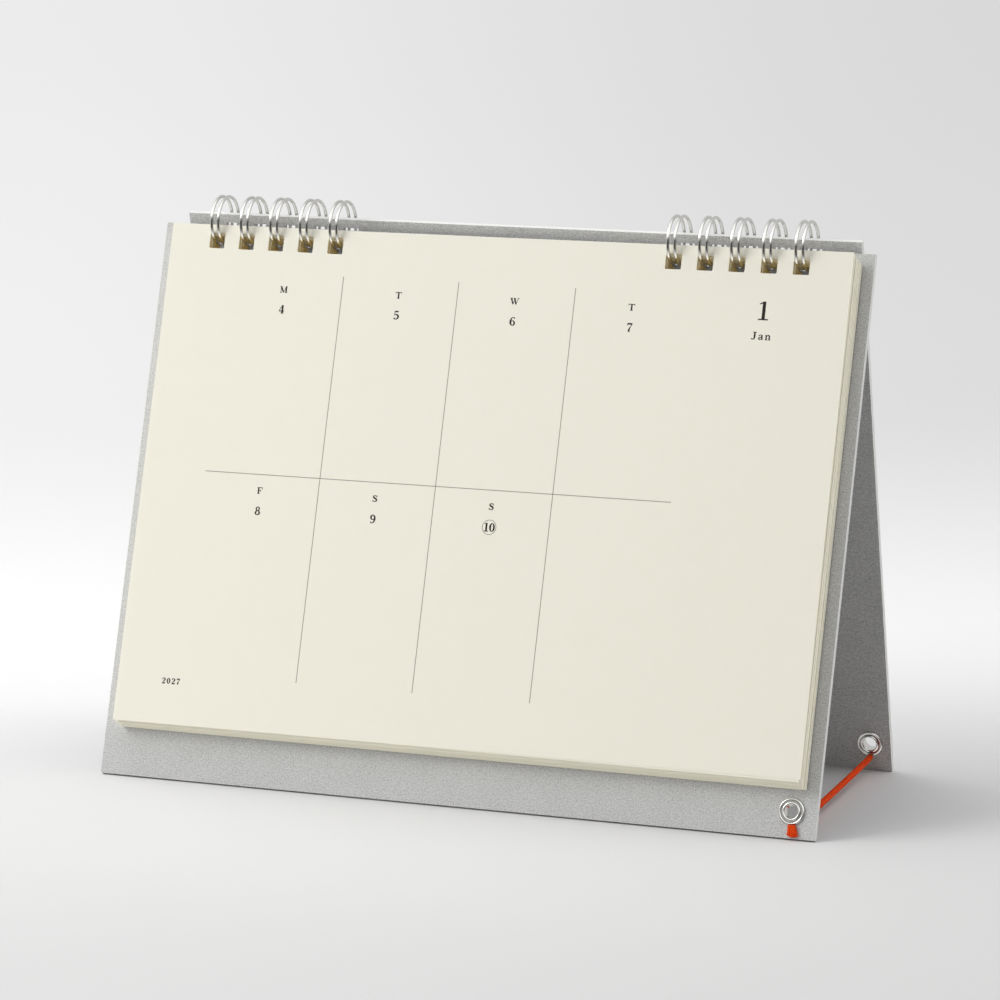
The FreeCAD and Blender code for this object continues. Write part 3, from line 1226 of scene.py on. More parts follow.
@dataclass
class EyeletPair:
    """The two eyelets: a flanged tube through each board, with its end rolled over a washer."""

    bore: float = 1.7
    wall: float = 0.35
    flange: float = 3.3
    flange_height: float = 0.5
    flange_rounding: float = 1.0
    mouth_rounding: float = 0.35
    collar: float = 2.42
    collar_side: float = 0.15
    washer: float = 3.4
    washer_thickness: float = 0.3
    washer_clearance: float = 0.07
    rim_height: float = 0.6
    rim_width: float = 0.7
    corner_steps: int = 8
    turns: int = 72
    sharp_deg: float = 50.0
    places: tuple[EyeletPlace, EyeletPlace] = (FRONT_EYELET, BACK_EYELET)

    def curve(self, centre: Spot, reach: Spot, start: float, end: float) -> list[Spot]:
        """Gives points of a rounded corner of an outline.

        Args:
            centre: the corner's centre, as a radius and a height off the board's face.
            reach: the corner's two half widths.
            start: its first angle in degrees, where 0 points outward and 90 off the face.
            end: its last angle.

        Returns:
            The points.
        """
        steps = self.corner_steps
        angles = [math.radians(start + (end - start) * i / steps) for i in range(steps + 1)]
        return [
            (centre[0] + reach[0] * math.cos(t), centre[1] + reach[1] * math.sin(t)) for t in angles
        ]

    def tube_outline(self) -> list[Spot]:
        """Draws the flanged tube and its rolled collar.

        Returns:
            The closed outline, as radii and heights off the board's face.
        """
        middle = (self.bore + self.collar) / 2
        bead = (self.collar - self.bore) / 2
        crown = self.washer_thickness + self.collar_side
        far = -BOARDS.thickness
        return [
            *self.curve((middle, crown), (bead, bead), 180, 0),
            (self.collar, self.washer_thickness),
            (self.bore + self.wall, self.washer_thickness),
            (self.bore + self.wall, far),
            *self.curve(
                (self.flange - self.flange_rounding, far),
                (self.flange_rounding, self.flange_height),
                0,
                -90,
            ),
            *self.curve(
                (self.bore + self.mouth_rounding, far),
                (self.mouth_rounding, self.flange_height),
                -90,
                -180,
            ),
        ]

    def washer_outline(self) -> list[Spot]:
        """Draws the washer with its raised rim.

        Returns:
            The closed outline, as radii and heights off the board's face.
        """
        inner = self.bore + self.wall + self.washer_clearance
        half = self.rim_width / 2
        ridge = self.washer - half
        low = self.washer_thickness / 2
        high = self.washer_thickness
        return [
            (inner, 0.0),
            (self.washer, 0.0),
            *self.curve((ridge, low), (half, self.rim_height - low), 0, 90),
            *self.curve((ridge, high), (half, self.rim_height - high), 90, 180)[1:],
            (inner, high),
        ]

    def turned(self, name: str, outline: Sequence[Spot], matrix: Matrix) -> bpy.types.Object:
        """Turns an outline round an eyelet's axis.

        Args:
            name: the piece's name.
            outline: radii and heights off the board's face.
            matrix: the move from the eyelet's coordinates, whose Y runs into the board.

        Returns:
            The piece.
        """
        rows = [math.tau * i / self.turns for i in range(self.turns)]
        points = [
            Vector((r * math.cos(t), -h, r * math.sin(t))) * MM for t in rows for r, h in outline
        ]
        size = len(outline)
        faces = []
        for row in range(self.turns):
            here, there = row * size, (row + 1) % self.turns * size
            for i in range(size):
                j = (i + 1) % size
                faces.append((here + i, here + j, there + j, there + i))
        mesh = bpy.data.meshes.new(name)
        mesh.from_pydata(points, [], faces)
        shell = bmesh.new()
        shell.from_mesh(mesh)
        bmesh.ops.recalc_face_normals(shell, faces=shell.faces)
        shell.to_mesh(mesh)
        shell.free()
        mesh.shade_smooth()
        mesh.set_sharp_from_angle(angle=math.radians(self.sharp_deg))
        return place_piece(name, mesh, matrix)

    def build(self, metal: bpy.types.Material) -> None:
        """Builds both eyelets and puts them in place of their plain CAD solids.

        Args:
            metal: the plated finish.
        """
        for place in self.places:
            spot = Vector((place.x, place.face, place.along)) * MM
            matrix = place.slope.matrix() @ Matrix.Translation(spot)
            parts = (
                ("eyelet_" + place.side, self.tube_outline(), place.side + "_eyelet"),
                ("washer_" + place.side, self.washer_outline(), place.side + "_eyelet_washer"),
            )
            for name, outline, node in parts:
                piece = self.turned(name, outline, matrix)
                paint(piece, metal)
                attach(piece, place.body.value)
                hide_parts(node)
                report(piece)


@dataclass
class StretchCord:
    """The braided cord between the eyelets, and its two cut ends outside the boards.

    A layer of a cut end is its number of yarns, their height off the board and a phase for their
    unevenness. An end is its eyelet, the face that it lies on, how far below the eyelet's middle it
    comes out, and which way is off the board.
    """

    diameter: float = 1.7
    length_m: float = 0.0754
    carriers: int = 8
    yarn_radius: float = 0.235
    braid_radius: float = 0.555
    weave: float = 0.06
    braid_angle_deg: float = 38.0
    step: float = 0.22
    route: tuple[Point, ...] = (
        (0.09124, -0.0374, 0.00275),
        (0.09124, -0.03583, 0.0021),
        (0.0876, 0.03609, 0.00341),
        (0.0876, 0.03772, 0.00394),
    )
    route_steps: int = 24
    end_layers: tuple[tuple[int, float, float], ...] = ((9, 0.26, 0.0), (7, 0.72, 0.4))
    end_steps: int = 6
    end_half_width: float = 0.72
    end_spread: float = 0.5
    end_wobble: float = 0.05
    end_length: float = 2.85
    end_unevenness: float = 0.22
    end_notch: float = 0.25
    end_side: float = 0.45
    end_lean: float = 0.5
    ends: tuple[tuple[EyeletPlace, float, float, float], ...] = (
        (FRONT_EYELET, BOARDS.front_face, 3.3, -1.0),
        (BACK_EYELET, BOARDS.back_face + BOARDS.thickness, 3.2, 1.0),
    )

    def centreline(self) -> list[Vector]:
        """Gives the cord's smooth line, read from a spline with the route as its control points.

        Returns:
            Its points in the row frame, in metres.
        """
        data = bpy.data.curves.new("cord_route", "CURVE")
        data.dimensions = "3D"
        data.resolution_u = self.route_steps
        spline = data.splines.new("NURBS")
        spline.points.add(len(self.route) - 1)
        for point, place in zip(spline.points, self.route):
            point.co = (*place, 1.0)
        spline.order_u = 3
        spline.use_endpoint_u = True
        carrier = bpy.data.objects.new("cord_route", data)
        bpy.context.scene.collection.objects.link(carrier)
        graph = bpy.context.evaluated_depsgraph_get()
        mesh = bpy.data.meshes.new_from_object(carrier.evaluated_get(graph), depsgraph=graph)
        points = [vertex.co.copy() for vertex in mesh.vertices]
        bpy.data.objects.remove(carrier)
        bpy.data.meshes.remove(mesh)
        return points

    def braid_tree(self) -> bpy.types.NodeTree:
        """Builds the node tree that winds two sets of yarns over and under each other.

        Returns:
            The tree. All its sizes are in metres.
        """
        tree, add, given = new_tree(
            "braided_cord",
            {
                "Route": "Geometry", "Carriers": "Int", "Step": "Float", "Braid Radius": "Float",
                "Weave": "Float", "Turn Rate": "Float", "Yarn Radius": "Float", "Yarn": "Material",
            },
        )
        size = given.outputs
        line = add("GeometryNodeMeshToCurve", {"Mesh": size["Route"]}).outputs[0]
        even = add(
            "GeometryNodeResampleCurve", {"Curve": line, "Length": size["Step"]}, mode="LENGTH"
        ).outputs[0]
        copies = add(
            "GeometryNodeDuplicateElements",
            {"Geometry": even, "Amount": size["Carriers"]},
            domain="SPLINE",
        )
        travelled = add("GeometryNodeSplineParameter").outputs["Length"]
        across = add("GeometryNodeInputNormal").outputs[0]
        forward = add("GeometryNodeInputTangent").outputs[0]
        beside = add(
            "ShaderNodeVectorMath", {0: forward, 1: across}, operation="CROSS_PRODUCT"
        ).outputs[0]
        share = calc(add, "DIVIDE", copies.outputs[1], size["Carriers"])
        start = calc(add, "MULTIPLY", share, math.tau)
        wound = calc(add, "MULTIPLY", travelled, size["Turn Rate"])
        crossing = calc(add, "MULTIPLY", wound, size["Carriers"])
        wave = calc(add, "COSINE", crossing)
        sets = []
        for hand in (1.0, -1.0):
            angle = calc(add, "MULTIPLY_ADD", wound, hand, start)
            lift = calc(add, "MULTIPLY", wave, hand)
            radius = calc(add, "MULTIPLY_ADD", lift, size["Weave"], size["Braid Radius"])
            parts = []
            for kind, axis in (("COSINE", across), ("SINE", beside)):
                part = calc(add, kind, angle)
                reach = calc(add, "MULTIPLY", part, radius)
                parts.append(
                    add(
                        "ShaderNodeVectorMath", {0: axis, "Scale": reach}, operation="SCALE"
                    ).outputs[0]
                )
            offset = add(
                "ShaderNodeVectorMath", {0: parts[0], 1: parts[1]}, operation="ADD"
            ).outputs[0]
            sets.append(
                add(
                    "GeometryNodeSetPosition", {"Geometry": copies.outputs[0], "Offset": offset}
                ).outputs[0]
            )
        yarns = add("GeometryNodeJoinGeometry", {"Geometry": sets}).outputs[0]
        add("NodeGroupOutput", {0: yarn_bodies(add, yarns, size["Yarn Radius"], size["Yarn"])})
        return tree

    def end_tree(self) -> bpy.types.NodeTree:
        """Builds the node tree that gives loose yarns their thickness.

        Returns:
            The tree. All its sizes are in metres.
        """
        tree, add, given = new_tree(
            "loose_yarns", {"Lines": "Geometry", "Yarn Radius": "Float", "Yarn": "Material"}
        )
        size = given.outputs
        line = add("GeometryNodeMeshToCurve", {"Mesh": size["Lines"]}).outputs[0]
        add("NodeGroupOutput", {0: yarn_bodies(add, line, size["Yarn Radius"], size["Yarn"])})
        return tree

    def loose_lines(
        self, slope: Slope, x: float, face: float, top: float, away: float
    ) -> list[list[Vector]]:
        """Lays out the yarns of a cut end, which spread from under an eyelet's rim down a board.

        Args:
            slope: the board's coordinates.
            x: the eyelet's place along the board.
            face: the board's face that they lie on.
            top: where they come out from under the rim.
            away: which way is off the board, -1 or 1 along its normal.

        Returns:
            Each yarn's points in the row frame.
        """
        lines = []
        for count, height, phase in self.end_layers:
            for i in range(count):
                place = 2 * i / (count - 1) - 1
                points = []
                notch = self.end_notch * (1 - abs(place)) * (place**2 < 0.05)
                unevenness = self.end_unevenness * math.cos(3.1 * place + phase)
                reach = self.end_length + unevenness - notch
                for step in range(self.end_steps + 1):
                    t = step / self.end_steps
                    half = self.end_half_width + self.end_spread * t**1.5
                    wobble = self.end_wobble * math.sin(5.0 * t + 2.3 * i + phase)
                    lift = height * (0.75 + 0.25 * math.sin(math.pi * min(1.0, t + 0.2)))
                    across = place * half + wobble + self.end_side + self.end_lean * t
                    points.append(slope.point(x + across, face + away * lift, top - reach * t))
                lines.append(points)
        return lines

    def build(self, yarn: bpy.types.Material) -> bpy.types.Object:
        """Builds the cord and its ends and puts them in place of their plain CAD solids.

        Args:
            yarn: the yarn's material.

        Returns:
            The cord.
        """
        centre = self.centreline()
        turn_rate = math.tan(math.radians(self.braid_angle_deg)) / (self.braid_radius * MM)
        values = {
            "Carriers": self.carriers,
            "Step": self.step * MM,
            "Braid Radius": self.braid_radius * MM,
            "Weave": self.weave * MM,
            "Turn Rate": turn_rate,
            "Yarn Radius": self.yarn_radius * MM,
            "Yarn": yarn,
        }
        cord = grown("stretch_cord", self.braid_tree(), lines_mesh("cord_line", [centre]), values)
        cord.data.shade_smooth()
        tree = self.end_tree()
        for eyelet, face, drop, away in self.ends:
            name = "cord_end_" + eyelet.side
            yarns = self.loose_lines(eyelet.slope, eyelet.x, face, eyelet.along - drop, away)
            lines = lines_mesh(name + "_lines", yarns)
            end = grown(name, tree, lines, {"Yarn Radius": self.yarn_radius * MM, "Yarn": yarn})
            end.data.shade_smooth()
            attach(end, eyelet.body.value)
            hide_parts("cord_" + eyelet.side + "_end")
            report(end)
        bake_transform(cord)
        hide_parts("cord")
        report(cord)
        return cord


def yarn_bodies(add: Any, lines: Any, radius: Any, material: Any) -> Any:
    """Adds the nodes that turn lines into yarns and mark them for their fibre lines.

    Args:
        add: add_node bound to the tree.
        lines: the output with the curves.
        radius: the output with the yarn's radius.
        material: the output with its material.

    Returns:
        The output with the finished yarns.
    """
    travelled = add("GeometryNodeSplineParameter").outputs["Length"]
    marked = add(
        "GeometryNodeStoreNamedAttribute",
        {"Geometry": lines, "Name": Yarn.ALONG, "Value": travelled},
        data_type="FLOAT",
        domain="POINT",
    ).outputs[0]
    circle = add(
        "GeometryNodeCurvePrimitiveCircle", {"Resolution": Yarn.SIDES, "Radius": radius}
    ).outputs[0]
    share = add("GeometryNodeSplineParameter").outputs["Factor"]
    section = add(
        "GeometryNodeStoreNamedAttribute",
        {"Geometry": circle, "Name": Yarn.AROUND, "Value": share},
        data_type="FLOAT",
        domain="POINT",
    ).outputs[0]
    body = add(
        "GeometryNodeCurveToMesh", {"Curve": marked, "Profile Curve": section, "Fill Caps": True}
    ).outputs[0]
    return add("GeometryNodeSetMaterial", {"Geometry": body, "Material": material}).outputs[0]


def oval(cx: float, cy: float, rx: float, ry: float, thick: float, thin: float) -> Stroke:
    """Draws a closed ring of a letter, thick at its sides and thin at top and bottom.

    Args:
        cx: its centre across.
        cy: its centre up.
        rx: half its width, to the middle of the stroke.
        ry: half its height, to the middle of the stroke.
        thick: the stroke at its sides.
        thin: the stroke at top and bottom.

    Returns:
        The stroke, whose last point repeats its first.
    """
    steps = 28
    points = []
    for i in range(steps + 1):
        angle = math.tau * i / steps
        width = thin + (thick - thin) * abs(math.cos(angle)) ** 1.5
        points.append((cx + rx * math.cos(angle), cy + ry * math.sin(angle), width))
    return points


# Strokes of the plain book letters and figures that the pages need. A point is its place across,
# its height and the stroke's width there, in shares of a capital's height. A stroke of two points
# is straight, and one of more is a smooth curve.
GLYPHS: dict[str, tuple[float, tuple[Stroke, ...]]] = {
    "M": (1.1, (
        ((0.17, 0.0, 0.06), (0.17, 1.0, 0.06)), ((0.17, 1.0, 0.15), (0.54, 0.04, 0.13)),
        ((0.54, 0.04, 0.05), (0.88, 1.0, 0.05)), ((0.9, 0.0, 0.15), (0.9, 1.0, 0.15)),
        ((0.02, 0.03, 0.06), (0.32, 0.03, 0.06)), ((0.72, 0.03, 0.06), (1.08, 0.03, 0.06)),
        ((0.02, 0.97, 0.06), (0.2, 0.97, 0.06)), ((0.88, 0.97, 0.06), (1.08, 0.97, 0.06)),
    )),
    "T": (0.84, (
        ((0.42, 0.0, 0.15), (0.42, 1.0, 0.15)), ((0.0, 0.965, 0.07), (0.84, 0.965, 0.07)),
        ((0.02, 0.98, 0.06), (0.0, 0.72, 0.03)), ((0.82, 0.98, 0.06), (0.84, 0.72, 0.03)),
        ((0.24, 0.03, 0.06), (0.6, 0.03, 0.06)),
    )),
    "W": (1.2, (
        ((0.12, 1.0, 0.15), (0.4, 0.02, 0.12)), ((0.4, 0.02, 0.05), (0.62, 0.86, 0.05)),
        ((0.55, 1.0, 0.15), (0.82, 0.02, 0.12)), ((0.82, 0.02, 0.05), (1.09, 1.0, 0.05)),
        ((-0.02, 0.97, 0.06), (0.28, 0.97, 0.06)), ((0.42, 0.97, 0.06), (0.72, 0.97, 0.06)),
        ((0.97, 0.97, 0.06), (1.21, 0.97, 0.06)),
    )),
    "F": (0.8, (
        ((0.2, 0.0, 0.15), (0.2, 1.0, 0.15)), ((0.04, 0.965, 0.07), (0.72, 0.965, 0.07)),
        ((0.72, 0.98, 0.06), (0.74, 0.7, 0.03)), ((0.2, 0.5, 0.06), (0.5, 0.5, 0.06)),
        ((0.52, 0.64, 0.05), (0.52, 0.36, 0.05)), ((0.03, 0.03, 0.06), (0.42, 0.03, 0.06)),
    )),
    "S": (0.72, (
        (
            (0.6, 0.74, 0.05), (0.54, 0.89, 0.06), (0.36, 0.965, 0.07), (0.17, 0.88, 0.1),
            (0.13, 0.73, 0.13),
            (0.28, 0.58, 0.16), (0.48, 0.46, 0.16), (0.6, 0.28, 0.13), (0.53, 0.11, 0.1),
            (0.34, 0.035, 0.07),
            (0.16, 0.11, 0.06), (0.09, 0.28, 0.05),
        ),
        ((0.61, 1.0, 0.05), (0.61, 0.7, 0.03)), ((0.08, 0.0, 0.05), (0.08, 0.3, 0.03)),
    )),
    "J": (0.66, (
        (
            (0.42, 1.0, 0.15), (0.42, 0.7, 0.15), (0.42, 0.35, 0.15), (0.38, 0.12, 0.11),
            (0.24, 0.035, 0.07),
            (0.12, 0.09, 0.1), (0.12, 0.18, 0.13),
        ),
        ((0.22, 0.97, 0.06), (0.62, 0.97, 0.06)),
    )),
    "a": (0.64, (
        (
            (0.12, 0.5, 0.1), (0.18, 0.6, 0.07), (0.3, 0.645, 0.06), (0.43, 0.59, 0.1),
            (0.46, 0.45, 0.12),
            (0.46, 0.15, 0.12), (0.5, 0.05, 0.07), (0.6, 0.06, 0.04),
        ),
        (
            (0.46, 0.38, 0.05), (0.28, 0.33, 0.07), (0.13, 0.22, 0.11), (0.13, 0.1, 0.11),
            (0.24, 0.03, 0.07),
            (0.38, 0.08, 0.05), (0.46, 0.18, 0.05),
        ),
    )),
    "n": (0.7, (
        ((0.17, 0.0, 0.12), (0.17, 0.64, 0.12)),
        (
            (0.17, 0.44, 0.04),
            (0.27, 0.59, 0.06),
            (0.4, 0.64, 0.09),
            (0.52, 0.52, 0.12),
            (0.52, 0.25, 0.12),
            (0.52, 0.0, 0.12),
        ),
        ((0.03, 0.025, 0.05), (0.31, 0.025, 0.05)), ((0.38, 0.025, 0.05), (0.66, 0.025, 0.05)),
        ((0.03, 0.6, 0.05), (0.17, 0.63, 0.06)),
    )),
    "0": (0.6, (oval(0.3, 0.5, 0.2, 0.46, 0.15, 0.06),)),
    "1": (0.6, (
        ((0.31, 0.0, 0.15), (0.31, 1.0, 0.15)), ((0.31, 0.96, 0.07), (0.1, 0.86, 0.05)),
        ((0.08, 0.03, 0.06), (0.54, 0.03, 0.06)),
    )),
    "2": (0.6, (
        (
            (0.1, 0.72, 0.13), (0.14, 0.88, 0.08), (0.29, 0.965, 0.07), (0.45, 0.89, 0.12),
            (0.49, 0.73, 0.15),
            (0.42, 0.54, 0.12), (0.26, 0.34, 0.07), (0.11, 0.12, 0.06),
        ),
        ((0.07, 0.065, 0.13), (0.5, 0.065, 0.13)), ((0.51, 0.02, 0.05), (0.55, 0.26, 0.03)),
    )),
    "4": (0.6, (
        ((0.38, 1.0, 0.05), (0.05, 0.3, 0.05)), ((0.03, 0.28, 0.07), (0.58, 0.28, 0.07)),
        ((0.4, 0.0, 0.15), (0.4, 1.0, 0.15)), ((0.24, 0.03, 0.06), (0.56, 0.03, 0.06)),
    )),
    "5": (0.6, (
        ((0.13, 0.93, 0.12), (0.5, 0.95, 0.1)), ((0.14, 0.98, 0.05), (0.11, 0.48, 0.05)),
        (
            (0.11, 0.49, 0.05), (0.27, 0.59, 0.07), (0.44, 0.52, 0.13), (0.5, 0.31, 0.15),
            (0.42, 0.11, 0.1),
            (0.25, 0.035, 0.07), (0.12, 0.09, 0.1), (0.1, 0.19, 0.13),
        ),
    )),
    "6": (0.6, (
        (
            (0.5, 0.83, 0.12), (0.44, 0.94, 0.08), (0.32, 0.965, 0.06), (0.17, 0.82, 0.1),
            (0.1, 0.5, 0.15),
            (0.13, 0.2, 0.13), (0.3, 0.035, 0.07), (0.45, 0.12, 0.11), (0.5, 0.31, 0.14),
            (0.43, 0.5, 0.1),
            (0.3, 0.57, 0.06), (0.15, 0.47, 0.05),
        ),
    )),
    "7": (0.6, (
        ((0.07, 0.93, 0.13), (0.55, 0.93, 0.13)), ((0.08, 0.98, 0.05), (0.06, 0.7, 0.03)),
        ((0.55, 0.92, 0.05), (0.37, 0.56, 0.07), (0.27, 0.28, 0.13), (0.25, 0.0, 0.16)),
    )),
    "8": (0.6, (oval(0.3, 0.74, 0.16, 0.225, 0.11, 0.06), oval(0.3, 0.27, 0.2, 0.235, 0.14, 0.06))),
}
SIX_WIDTH, (SIX_STROKE,) = GLYPHS["6"]
GLYPHS["9"] = (SIX_WIDTH, (tuple((SIX_WIDTH - x, 1.0 - y, width) for x, y, width in SIX_STROKE),))


@dataclass
class PrintedPage:
    """What is printed on the front page: a ruled week of plain dates, a month and a year.

    Places are across from the middle and down from the print's top line. The month and the year
    have a place, a letter's height and the extra room between letters.
    """

    top_line: float = -1.7815
    ink_height: float = 0.02
    sink: float = 0.005
    line_width: float = 0.18
    columns: tuple[float, ...] = (-59.7, -27.2, 5.0, 36.8)
    rulings: tuple[float, ...] = (-43.2, -10.9, 21.2)
    ruling_span: tuple[float, float] = (12.3, 118.4)
    cross_ruling: tuple[float, float, float] = (65.3, -75.85, 52.9)
    letter_height: float = 1.65
    figure_height: float = 2.2
    widening: float = 1.2
    weight: float = 1.5
    weight_fall: float = 0.3
    weekday_rows: tuple[float, float] = (16.5, 69.5)
    date_rows: tuple[float, float] = (21.7, 74.8)
    ring_radius: float = 1.87
    ring_width: float = 0.08
    month_figure: tuple[float, float, float] = (71.8, 15.7, 4.7)
    month_name: tuple[float, float, float, float] = (71.8, 22.1, 1.9, 0.18)
    year: tuple[float, float, float, float] = (-78.5, 120.7, 1.45, 0.23)
    vertices: list[Vector] = field(default_factory=list)
    faces: list[list[int]] = field(default_factory=list)

    def ribbon(self, left: Sequence[Spot], right: Sequence[Spot]) -> None:
        """Adds a flat closed solid between two lines of points.

        Args:
            left: one side's places, across and down.
            right: the other side's places, as many.
        """
        base = len(self.vertices)
        near = STACK.front - self.ink_height
        far = STACK.front + self.sink
        count = len(left)
        for n in (near, far):
            for across, down in [*left, *right]:
                self.vertices.append(FRONT_SLOPE.point(across, n, self.top_line - down))
        lay = 2 * count
        for i in range(count - 1):
            a, b, c, d = base + i, base + i + 1, base + count + i + 1, base + count + i
            self.faces.append([a, b, c, d])
            self.faces.append([d + lay, c + lay, b + lay, a + lay])
            self.faces.append([b, a, a + lay, b + lay])
            self.faces.append([d, c, c + lay, d + lay])
        for a, d, ahead in (
            (base, base + count, True), (base + count - 1, base + 2 * count - 1, False)
        ):
            cap = [a, d, d + lay, a + lay]
            self.faces.append(cap if ahead else cap[::-1])

    def stroke(self, points: Stroke, x: float, down: float, height: float) -> None:
        """Adds one stroke of a letter.

        Args:
            points: the stroke in shares of the letter's height.
            x: the letter's left side.
            down: its foot line.
            height: its height in millimetres.
        """
        line = smooth(points) if len(points) > 2 else list(points)
        weight = self.weight * (self.figure_height / height) ** self.weight_fall
        left, right = [], []
        for i, (px, py, width) in enumerate(line):
            before = line[max(i - 1, 0)]
            after = line[min(i + 1, len(line) - 1)]
            if line[0][:2] == line[-1][:2] and i in (0, len(line) - 1):
                before, after = line[-2], line[1]
            run = Vector(
                ((after[0] - before[0]) * self.widening, after[1] - before[1])
            ).normalized()
            for side, sign in ((left, 1), (right, -1)):
                across = px * self.widening - sign * run.y * width * weight / 2
                up = py + sign * run.x * width * weight / 2
                side.append((x + across * height, down - up * height))
        self.ribbon(left, right)

    def text(self, words: str, x: float, down: float, height: float, spacing: float = 0.0) -> None:
        """Adds a centred word.

        Args:
            words: the letters.
            x: its middle.
            down: its middle line.
            height: a capital's height.
            spacing: extra room between letters, in shares of the height.
        """
        width = sum(
            GLYPHS[letter][0] * self.widening for letter in words
        ) + spacing * (len(words) - 1)
        left = x - width * height / 2
        for letter in words:
            advance, strokes = GLYPHS[letter]
            for points in strokes:
                self.stroke(points, left, down + height / 2, height)
            left += (advance * self.widening + spacing) * height

    def rule(self, start: Spot, end: Spot) -> None:
        """Adds a ruled line.

        Args:
            start: its first place, across and down.
            end: its last place.
        """
        run = Vector((end[0] - start[0], end[1] - start[1])).normalized() * (self.line_width / 2)
        sides = [[(px + s * run.y, py - s * run.x) for px, py in (start, end)] for s in (-1, 1)]
        self.ribbon(*sides)

    def finish(self, name: str, ink: bpy.types.Material) -> bpy.types.Object:
        """Makes a piece of what was added so far, and starts afresh.

        Args:
            name: the piece's name.
            ink: its ink.

        Returns:
            The piece.
        """
        mesh = bpy.data.meshes.new(name)
        mesh.from_pydata(self.vertices, [], self.faces)
        piece = place_piece(name, mesh, Matrix.Identity(4))
        self.vertices, self.faces = [], []
        paint(piece, ink)
        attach(piece, Body.PAGES.value)
        report(piece)
        return piece

    def build(self, dark: bpy.types.Material, light: bpy.types.Material) -> None:
        """Prints the page.

        Args:
            dark: the ink of the letters and figures.
            light: the paler ink of the ruled lines and of the last day's ring.
        """
        for x in self.rulings:
            self.rule((x, self.ruling_span[0]), (x, self.ruling_span[1]))
        level, start, end = self.cross_ruling
        self.rule((start, level), (end, level))
        self.finish("print_ruling", light)
        half_width = self.ring_radius / self.widening
        ring = oval(0.0, 0.0, half_width, self.ring_radius, self.ring_width, self.ring_width)
        self.stroke(ring, self.columns[2], self.date_rows[1], 1.0)
        self.finish("print_last_day_ring", light)
        for letters, row in zip(("MTWT", "FSS"), self.weekday_rows):
            for letter, x in zip(letters, self.columns):
                self.text(letter, x, row, self.letter_height)
        self.finish("print_weekdays", dark)
        for figures, row in zip((("4", "5", "6", "7"), ("8", "9", "10")), self.date_rows):
            for figure, x in zip(figures, self.columns):
                self.text(figure, x, row, self.figure_height)
        self.finish("print_dates", dark)
        self.text("1", *self.month_figure)
        self.text("Jan", *self.month_name)
        self.finish("print_month", dark)
        self.text("2027", *self.year)
        self.finish("print_year", dark)


def smooth(points: Stroke) -> list[Point]:
    """Rounds a stroke through its points.

    Args:
        points: the stroke's points and widths.

    Returns:
        More points on a smooth curve through them.
    """
    smooth_enough, steps = 20, 5
    if len(points) > smooth_enough:
        return list(points)
    padded = [points[0], *points, points[-1]]
    result = []
    for before, start, end, after in zip(padded, padded[1:], padded[2:], padded[3:]):
        for step in range(steps):
            t = step / steps
            result.append(
                tuple(
                    0.5
                    * (
                        2 * q
                        + (r - p) * t
                        + (2 * p - 5 * q + 4 * r - s) * t**2
                        + (3 * q - p - 3 * r + s) * t**3
                    )
                    for p, q, r, s in zip(before, start, end, after)
                )
            )
    result.append(tuple(points[-1]))
    return result


# Studio


@dataclass(frozen=True)
class SoftLamp:
    """A soft square lamp.

    Attributes:
        name: its name.
        place: where it hangs, in metres.
        target: the point it faces, in metres.
        size_m: the length of its sides.
        power: its power in watts.
        mirrored: whether polished surfaces show it.
    """

    name: str
    place: Point
    target: Point
    size_m: float
    power: float
    mirrored: bool = True


